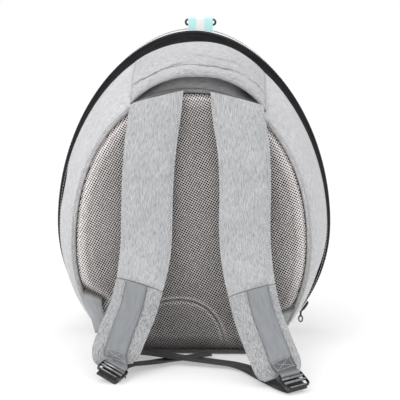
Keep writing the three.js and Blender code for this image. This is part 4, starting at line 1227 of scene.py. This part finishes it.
buckle = {
    "left": {"at": (-83.5, -219, 12.5), "across": (0.76, -0.48, -0.42), "down": (-0.4, -0.9, -0.16)},
    "right": {"at": (113.5, -250, 12.2), "across": (0.76, 0.6, 0.135), "down": (0.49, -0.75, -0.44)},
    "width": 31, "length": 22.5, "thick": 4, "rail": 2.6, "bar": 3.4, "lip": 2.6, "corner": 4, "bevel": 1.3,
    "bars": [(-3.2, 1.1, 1.75, 13.6), (2.6, 1.1, 1.75, 13.6), (9.9, 1.5, 0.9, 10.5)],
    "shoulder": 0.4, "edge": 0.4, "turnIn": 0.7, "leadIn": 4, "leadDrop": 3,
    "passIn": 3, "passOut": 1, "passDrop": 0.6, "passLean": 8,
}


def webOutward(side, along):
    top, end = webbing["stripOutward"][side]
    return top + (end - top) * float(easeStep(0.55, 1, along))


def buckleAxes(side):
    look = buckle[side]
    along = unit(np.array(look["down"], float))
    across = -np.array(look["across"], float)
    across = unit(across - along * across.dot(along))
    return across, along, unit(np.cross(across, along)), np.array(look["at"], float)


def buckleRow(side, down, out, lean):
    across, along, face, at = buckleAxes(side)
    tilt = math.radians(lean)
    return at + along * down + face * out, -across, face * math.cos(tilt) + along * math.sin(tilt)


# Section of webbing: flat with rounded edges, slightly cupped; shear slants each row along the run
def ribbonShape(rows, width, wall, cup=0.0, shear=None):
    shares = np.array([-1, -0.985, -0.94, -0.7, -0.4, 0, 0.4, 0.7, 0.94, 0.985, 1])
    thick = np.array([0, 0.6, 0.94, 1, 1, 1, 1, 1, 0.94, 0.6, 0])
    dish = cup * (1 - shares ** 2)
    rings = []
    for i, (place, across, out) in enumerate(rows):
        half = width[i] / 2 if np.ndim(width) else width / 2
        slant = np.cross(across, out) * (shear[i] if shear is not None else 0)
        flat = [place + across * s * half + slant * s for s in shares]
        front = [f + out * (t * wall / 2 + d) for f, t, d in zip(flat, thick, dish)]
        back = [f + out * (-t * wall / 2 + d) for f, t, d in zip(flat, thick, dish)]
        rings.append([*front, *back[-2:0:-1]])
    return loft(rings)


ribbonRing = 20
# Painted shade on the strip's bound edges
paintedRibbonEdgeShade = np.zeros(ribbonRing)  # dark of the strip's bound edges
paintedRibbonEdgeShade[[0, 1, 9, 10, 11, 19]] = 0.6


def smoothRows(rows, steps):
    flat = smoothRun([np.concatenate(row) for row in rows], steps)
    return [(row[:3], unit(row[3:6]), unit(row[6:9])) for row in flat]


def lengthsAlong(places):
    return np.concatenate([[0], np.cumsum(np.linalg.norm(np.diff(places, axis=0), axis=1))])


def stripRows(side):
    table, places, across, out, length = strapRun(side)
    wall, seamAt = webbing["wall"], seamPlace(side, length)
    rows, shear = [], []
    count = np.arange(len(length))
    ends = length[-webbing["leaveRows"]]
    for at in np.linspace(seamAt + 0.4, ends, 60):
        i = np.interp(at, length, count)
        mix = lambda values: np.array([np.interp(i, count, values[:, k]) for k in range(values.shape[1])])
        row, beside = mix(table), webOutward(side, at / length[-1])
        lift = padHeight(beside / (row[3] / 2), row[4]) + webbing["stripLift"] + wall / 2
        lift += webbing["endLift"] * float(easeStep(ends - webbing["endFade"], ends, at))
        rows.append((mix(places) + mix(across) * beside + mix(out) * lift, unit(mix(across)), unit(mix(out))))
        near = float(easeStep(seamAt + webbing["seamFade"], seamAt, at))
        shear.append(straps["seamTilt"][side] * webbing["width"] / row[3] * near)
    barTop = -buckle["length"] / 2
    wrap = buckle["thick"] / 2 + webbing["clear"] + wall / 2
    inSlot = barTop + buckle["bar"] + webbing["clear"] + wall / 2
    shoulder = buckle["thick"] * buckle["shoulder"]
    edge, turnIn = barTop + buckle["edge"], inSlot - buckle["turnIn"]
    loop = [(edge, wrap, -10), (turnIn, wrap, 25), (inSlot, shoulder, 80), (inSlot, -shoulder, 100),
            (turnIn, -wrap, 155), (edge, -wrap, 180)]
    return rows, shear, [buckleRow(side, *row) for row in loop]


def makeStrip(side):
    onPad, shear, loop = stripRows(side)
    rows = onPad[:-1] + smoothRows([onPad[-1], *loop], 5)
    shear = shear + [0] * (len(rows) - len(shear))
    run = lengthsAlong([row[0] for row in rows])
    toBar = len(onPad) + 4
    boxAt = run[toBar - 1] - webbing["boxEnd"] - webbing["boxLong"]
    # Painted shade over the box at the strip's end, deeper on the right
    rise, full, gone, fall = (boxAt + step for step in webbing["boxFade"])
    shade = webbing["boxShade"][side] * (easeStep(rise, full, run) * easeStep(gone, fall, run))
    obj = makePiece("strapStrip_" + side, ribbonShape(rows, webbing["width"], webbing["wall"], 0, shear),
                    finish["greyWebbing"], 50, np.maximum(shade[:, None], paintedRibbonEdgeShade[None, :]).ravel())
    dress(obj, "carrier", "grey_webbing", "strap_web_" + side)
    sewBox(side, rows[:toBar])


# Box with a cross near the strip's end, and a line along each of its edges
def sewBox(side, rows):
    length = lengthsAlong([row[0] for row in rows])
    count = np.arange(len(rows))

    def onStrip(along, share):
        i = np.interp(along, length, count)
        mix = lambda k: np.array([np.interp(i, count, [row[k][c] for row in rows]) for c in range(3)])
        return mix(0) + mix(1) * share * webbing["width"] / 2 + mix(2) * (webbing["wall"] / 2 + 0.12)

    far = length[-1] - webbing["boxEnd"]
    near = far - webbing["boxLong"]
    inset = webbing["boxWidth"] / webbing["width"]
    corner = [(near, -inset), (near, inset), (far, inset), (far, -inset)]

    def line(a, b):
        return [onStrip(a[0] + (b[0] - a[0]) * t, a[1] + (b[1] - a[1]) * t) for t in np.linspace(0, 1, 9)]

    runs = [line(corner[k], corner[(k + 1) % 4]) for k in range(4)]
    runs += [line(corner[0], corner[2]), line(corner[1], corner[3])]
    sew("boxStitches", runs, "_" + side)
    edges = [[onStrip(a, share) for a in np.linspace(2, near - 1, 40)] for share in (-0.9, 0.9)]
    sew("stripStitches", edges, "_" + side)


# Corner tab between its two edges, broad where it is sewn in and gathered towards the webbing
def tabRows(side):
    edges = webbing["tabs"][side]
    outer, inner = (smoothRun(edges[key], 8) for key in ("outer", "inner"))
    left, right = (outer, inner) if side == "left" else (inner, outer)
    places, span = (left + right) / 2, right - left
    along, across, out = runFrames(places, unit(span))
    return list(zip(places, across, out)), along, np.linalg.norm(span, axis=1), span


def makeTab(side):
    rows, _, width, span = tabRows(side)
    slant = [float(np.dot(s, np.cross(a, o))) / 2 for (_, a, o), s in zip(rows, span)]
    # Painted shade where the tab tucks under the panel, and a little towards its end
    shade = shadeOf(webbing["tabShades"], np.linspace(0, 1, len(rows)))
    shape = ribbonShape(rows, width, webbing["tabWall"], webbing["tabCup"], slant)
    obj = makePiece("anchorTab_" + side, shape, finish["tabWebbing"], 50, np.repeat(shade, ribbonRing))
    dress(obj, "carrier", "grey_webbing", "anchor_tab_" + side)


def makeDarkRun(side):
    tab, along, _, _ = tabRows(side)
    place, across, out = tab[-1]
    wall = webbing["wall"]
    below = buckle["thick"] / 2 + 2 * webbing["clear"] + 1.5 * wall
    half, low = buckle["length"] / 2, -below - buckle["passDrop"]
    passing = [(-half - buckle["leadIn"], -below - buckle["leadDrop"], 0), (-half + buckle["passIn"], low, 0),
               (-1, -below, 0), (half - buckle["passOut"], low, buckle["passLean"])]
    rows = [(place + along[-1] * webbing["clear"], across, out)]
    passing += [(down, out - below, lean) for down, out, lean in webbing["fold"][side]]
    rows += [buckleRow(side, *row) for row in passing]
    points = np.array(webbing["tails"][side], float)
    tailAlong, _, _ = runFrames(points, np.tile((1.0, 0, 0), (len(points), 1)))
    for p, a in zip(points, tailAlong):
        level = unit(np.cross((0, 0, -1), a))
        across = unit(level - np.array([0, 0, webbing["tailLean"][side] * np.sign(level[1])]))
        rows.append((p, across, unit(np.cross(a, across))))
    rows = smoothRows(rows, 7)
    width = np.full(len(rows), float(webbing["width"]))
    width[:webbing["rootRows"]] = np.linspace(webbing["rootWidth"], webbing["width"], webbing["rootRows"])
    obj = makePiece("darkWebbing_" + side, ribbonShape(rows, width, wall), finish["darkWebbing"], 50)
    dress(obj, "carrier", "dark_webbing", "webbing_" + side)


# Ladder-lock buckle: bevelled open frame with two plated bars and a thin lip
def makeBuckle(side):
    across, along, face, at = buckleAxes(side)
    basis = Matrix((*zip(across, along, face),)).to_4x4()
    basis.translation = Vector(at) * mm
    x, y, c = buckle["width"] / 2, buckle["length"] / 2, buckle["corner"]
    bevel = buckle["bevel"]
    outline = roundedLoop(2 * x - 2 * bevel, 2 * y - 2 * bevel, c - bevel, 6)
    holeX = x - buckle["rail"] + bevel
    top, end = -y + buckle["bar"], y - buckle["lip"]
    hole = [(px, py + (top + end) / 2) for px, py in roundedLoop(2 * holeX, end - top + 2 * bevel, 2.6, 4)]
    curve = bpy.data.curves.new("buckleOutline", "CURVE")
    curve.dimensions, curve.fill_mode = "2D", "BOTH"
    curve.extrude, curve.bevel_depth = (buckle["thick"] / 2 - bevel) * mm, bevel * mm
    curve.bevel_resolution = 4
    for loop in [outline, hole]:
        spline = curve.splines.new("POLY")
        spline.points.add(len(loop) - 1)
        spline.use_cyclic_u = True
        for point, (px, py) in zip(spline.points, loop):
            point.co = (px * mm, py * mm, 0, 1)
    holder = addObject("buckleOutline", curve)
    graph = bpy.context.evaluated_depsgraph_get()
    mesh = bpy.data.meshes.new_from_object(holder.evaluated_get(graph), depsgraph=graph)
    bpy.data.objects.remove(holder)
    faceOut(mesh, 1e-6)
    mesh.transform(basis)
    mesh.name = "buckle_body_" + side
    mesh.materials.clear()
    mesh.materials.append(finish["blackPlastic"])
    mesh.shade_smooth()
    mesh.set_sharp_from_angle(angle=math.radians(35))
    dress(addObject("buckleFrame_" + side, mesh), "carrier", "black_plastic", "buckle_" + side)
    bars = []
    for down, out, radius, half in buckle["bars"]:
        spans = np.array([-1, -0.985, -0.95, 0, 0.95, 0.985, 1])
        sizes = radius * np.array([0.3, 0.75, 1, 1, 1, 0.75, 0.3])
        turns = circle(16)
        middle = at + along * down + face * out
        rings = [[middle + across * half * s + (along * math.cos(t) + face * math.sin(t)) * r for t in turns]
                 for s, r in zip(spans, sizes)]
        bars.append((*loft(rings)[:2], []))
    obj = makePiece("buckleBars_" + side, joinShapes(bars), finish["barMetal"], 50)
    dress(obj, "carrier", "grey_metal")


def roundedLoop(width, height, corner, steps):
    loop = []
    for cx, cy, start in ((1, 1, 0), (-1, 1, 90), (-1, -1, 180), (1, -1, 270)):
        for k in range(steps + 1):
            turn = math.radians(start + 90 * k / steps)
            loop.append((cx * (width / 2 - corner) + corner * math.cos(turn),
                         cy * (height / 2 - corner) + corner * math.sin(turn)))
    return loop


for side in ("left", "right"):
    makeStrap(side)
    makeBuckle(side)
    makeStrip(side)
    makeTab(side)
    makeDarkRun(side)
print("straps, webbing and buckles made")


# Striped tab on the crown, and its wire ring
topTab = {"shift": 8, "width": 30, "y": 15, "barHeight": 386.3, "radius": 2.1, "wall": 1.4, "spans": 30,
          "edgeThin": 0.35, "footLift": 0.3}
topRing = {"width": 39, "depth": 8.5, "wire": 1.3, "hang": 53, "corner": 3.5, "sides": 14}


def makeTopTab():
    y, bar, radius, wall = topTab["y"], topTab["barHeight"], topTab["radius"], topTab["wall"]
    rings = []
    for i in range(topTab["spans"] + 1):
        x = topTab["shift"] + (i / topTab["spans"] - 0.5) * topTab["width"]
        thin = 1 - topTab["edgeThin"] * easeStep(0.9, 1, abs(2 * i / topTab["spans"] - 1))

        def leg(offset):
            foot = shellHeight(x, y + offset) + topTab["footLift"]
            return [np.array([x, y + offset, z]) for z in np.linspace(foot, bar, 6)[:-1]]

        def arc(size):
            return [np.array([x, y + math.cos(t) * size, bar + math.sin(t) * size])
                    for t in np.linspace(0, math.pi, 17)]

        big = radius + wall * thin
        outer = leg(big) + arc(big) + leg(-big)[::-1]
        inner = leg(-radius) + arc(radius)[::-1] + leg(radius)[::-1]
        rings.append([*outer, *inner])
    obj = makePiece("topTab", loft(rings), finish["stripes"], 50)
    dress(obj, "carrier", "striped_webbing", "top_tab")


def wireShape(line, radius, sides, normal):
    line = np.asarray(line, float)
    along = unit(np.roll(line, -1, 0) - np.roll(line, 1, 0))
    out = unit(np.cross(along, normal))
    turns = circle(sides)
    rings = [[p + o * math.cos(t) * radius + normal * math.sin(t) * radius for t in turns]
             for p, o in zip(line, out)]
    return loft(rings, runClosed=True)


def makeRing():
    loop = roundedLoop(topRing["width"] - 2 * topRing["wire"], topRing["depth"], topRing["corner"], 8)
    hang = math.radians(-topRing["hang"])
    line, normal = [], np.array([0, -math.sin(hang), math.cos(hang)])
    for x, d in denseLoop(loop, 1.5):
        d += topRing["depth"] / 2
        line.append((topTab["shift"] + x, topTab["y"] + d * math.cos(hang),
                     topTab["barHeight"] + d * math.sin(hang)))
    obj = makePiece("topRing", wireShape(line, topRing["wire"], topRing["sides"], normal), finish["darkWire"])
    dress(obj, "ring", "dark_metal", "top_ring")


def denseLoop(loop, step):
    dense = []
    for a, b in zip(loop, loop[1:] + loop[:1]):
        count = max(1, int(math.dist(a, b) / step))
        dense += [(a[0] + (b[0] - a[0]) * k / count, a[1] + (b[1] - a[1]) * k / count) for k in range(count)]
    return dense


# Zip slider with its bridge, and the hanging pull
zipSlider = {"angle": 125.7, "length": 15, "width": 9, "height": 3.4, "coilProud": 0.9, "clear": 0.3,
             "plate": {"long": 1, "wide": 1, "thick": 1.8, "bevel": 0.7, "down": 0, "lift": 0.95},
             "cap": {"long": 0.5, "wide": 0.62, "thick": 1.2, "bevel": 0.5, "down": -0.18, "lift": 2.1},
             "bridge": {"reach": 0.44, "foot": 1.5, "sink": 2.0, "halfWidth": 1.3, "halfThick": 0.55}}
zipPull = {"pivot": (135.03, 0, 21.44), "drop": 12.8, "loopWidth": 4.8, "loopHeight": 8, "wire": 0.95,
           "pin": 1.2, "pinLength": 6, "neckTop": 1.2, "neckLap": 1.6, "neckThick": 2.3}


def roundedBox(size, bevel, basis):
    work = bmesh.new()
    bmesh.ops.create_cube(work, size=1)
    bmesh.ops.scale(work, vec=Vector(size), verts=work.verts)
    bmesh.ops.bevel(work, geom=list(work.edges), offset=bevel, segments=3, affect="EDGES", profile=0.5)
    bmesh.ops.transform(work, matrix=basis, verts=work.verts)
    work.verts.index_update()
    shape = ([tuple(v.co) for v in work.verts], [tuple(v.index for v in f.verts) for f in work.faces], [])
    work.free()
    return shape


def makeSlider():
    angle = math.radians(zipSlider["angle"])
    a, here, b = eggPoints(bodyAt(0), np.array([angle - 0.01, angle, angle + 0.01]))
    along = unit(b - a)
    out = unit(np.cross(along, (0, 1, 0)))
    base = zipSlider["coilProud"] + zipSlider["clear"]
    high, long, wide = zipSlider["height"], zipSlider["length"], zipSlider["width"]

    def basisAt(down, lift):
        basis = Matrix((*zip(along, (0, 1, 0), out),)).to_4x4()
        basis.translation = Vector(here + along * down + out * (base + lift))
        return basis

    shapes = []
    for box in (zipSlider["plate"], zipSlider["cap"]):
        size = (long * box["long"], wide * box["wide"], box["thick"])
        shapes.append(roundedBox(size, box["bevel"], basisAt(long * box["down"], box["lift"])))
    bridge = zipSlider["bridge"]
    arch = [here - along * (long * bridge["reach"] * math.cos(t))
            + out * (base + bridge["foot"] + (high - bridge["sink"]) * math.sin(t))
            for t in np.linspace(0, math.pi, 17)]
    shapes.append(barShape(arch, bridge["halfWidth"], bridge["halfThick"]))
    obj = makePiece("zipSlider", joinShapes(shapes), finish["blackPlastic"], 40)
    dress(obj, "carrier", "black_plastic", "zip_slider")


# Flat bar bent along a line in the zip's plane
def barShape(line, halfWidth, halfThick):
    line = np.asarray(line, float)
    ahead = unit(np.gradient(line, axis=0))
    side = np.array([0, 1.0, 0])
    rings = []
    for place, way in zip(line, ahead):
        face = unit(np.cross(way, side))
        section = roundedLoop(2 * halfWidth, 2 * halfThick, min(halfWidth, halfThick) * 0.7, 3)
        rings.append([place + side * px + face * py for px, py in section])
    return (*loft(rings)[:2], [])


def makePull():
    pivot = np.array(zipPull["pivot"])
    drop, wire = zipPull["drop"], zipPull["wire"]
    loopMiddle = -drop + zipPull["loopHeight"] / 2
    turns = circle(48)
    line = [pivot + np.array([math.cos(t) * zipPull["loopWidth"] / 2, 0,
                              loopMiddle + math.sin(t) * zipPull["loopHeight"] / 2]) for t in turns]
    ring = wireShape(line, wire, 12, np.array([0, 1.0, 0]))
    obj = makePiece("zipPull", (ring[0], ring[1], []), finish["greyWire"])
    dress(obj, "pull", "grey_metal", "zip_pull")
    neckTop, neckEnd = zipPull["neckTop"], -(drop - zipPull["loopHeight"]) - zipPull["neckLap"]
    rows = []
    for z, half in ((neckTop, 1.0), (0, 1.5), (-1.8, 1.3), (neckEnd + 1.8, 1.25), (neckEnd + 0.5, 1.4),
                    (neckEnd, 0.9)):
        section = roundedLoop(2 * half, zipPull["neckThick"], 0.8, 4)
        rows.append([pivot + np.array([px, py, z]) for px, py in section])
    neck = loft(smoothRun(np.array(rows).reshape(len(rows), -1), 4).reshape(-1, len(rows[0]), 3))
    half = zipPull["pinLength"] / 2
    pin = [pivot + np.array([0, y, 0]) for y in np.linspace(-half, half, 9)]
    pinRows = [[p + np.array([math.cos(t), 0, math.sin(t)]) * zipPull["pin"] * (0.8 if k in (0, 8) else 1)
                for t in circle(14)] for k, p in enumerate(pin)]
    shapes = [(*shape[:2], []) for shape in (neck, loft(pinRows))]
    link = makePiece("zipPullLink", joinShapes(shapes), finish["blackPlastic"], 40)
    dress(link, "pull", "grey_metal")


makeTopTab()
makeRing()
makeSlider()
makePull()
print("tab, ring, slider and pull made")

for helper in [o for o in bpy.data.objects if o.name == "meshCell"]:
    bpy.data.objects.remove(helper)
bpy.context.view_layer.update()
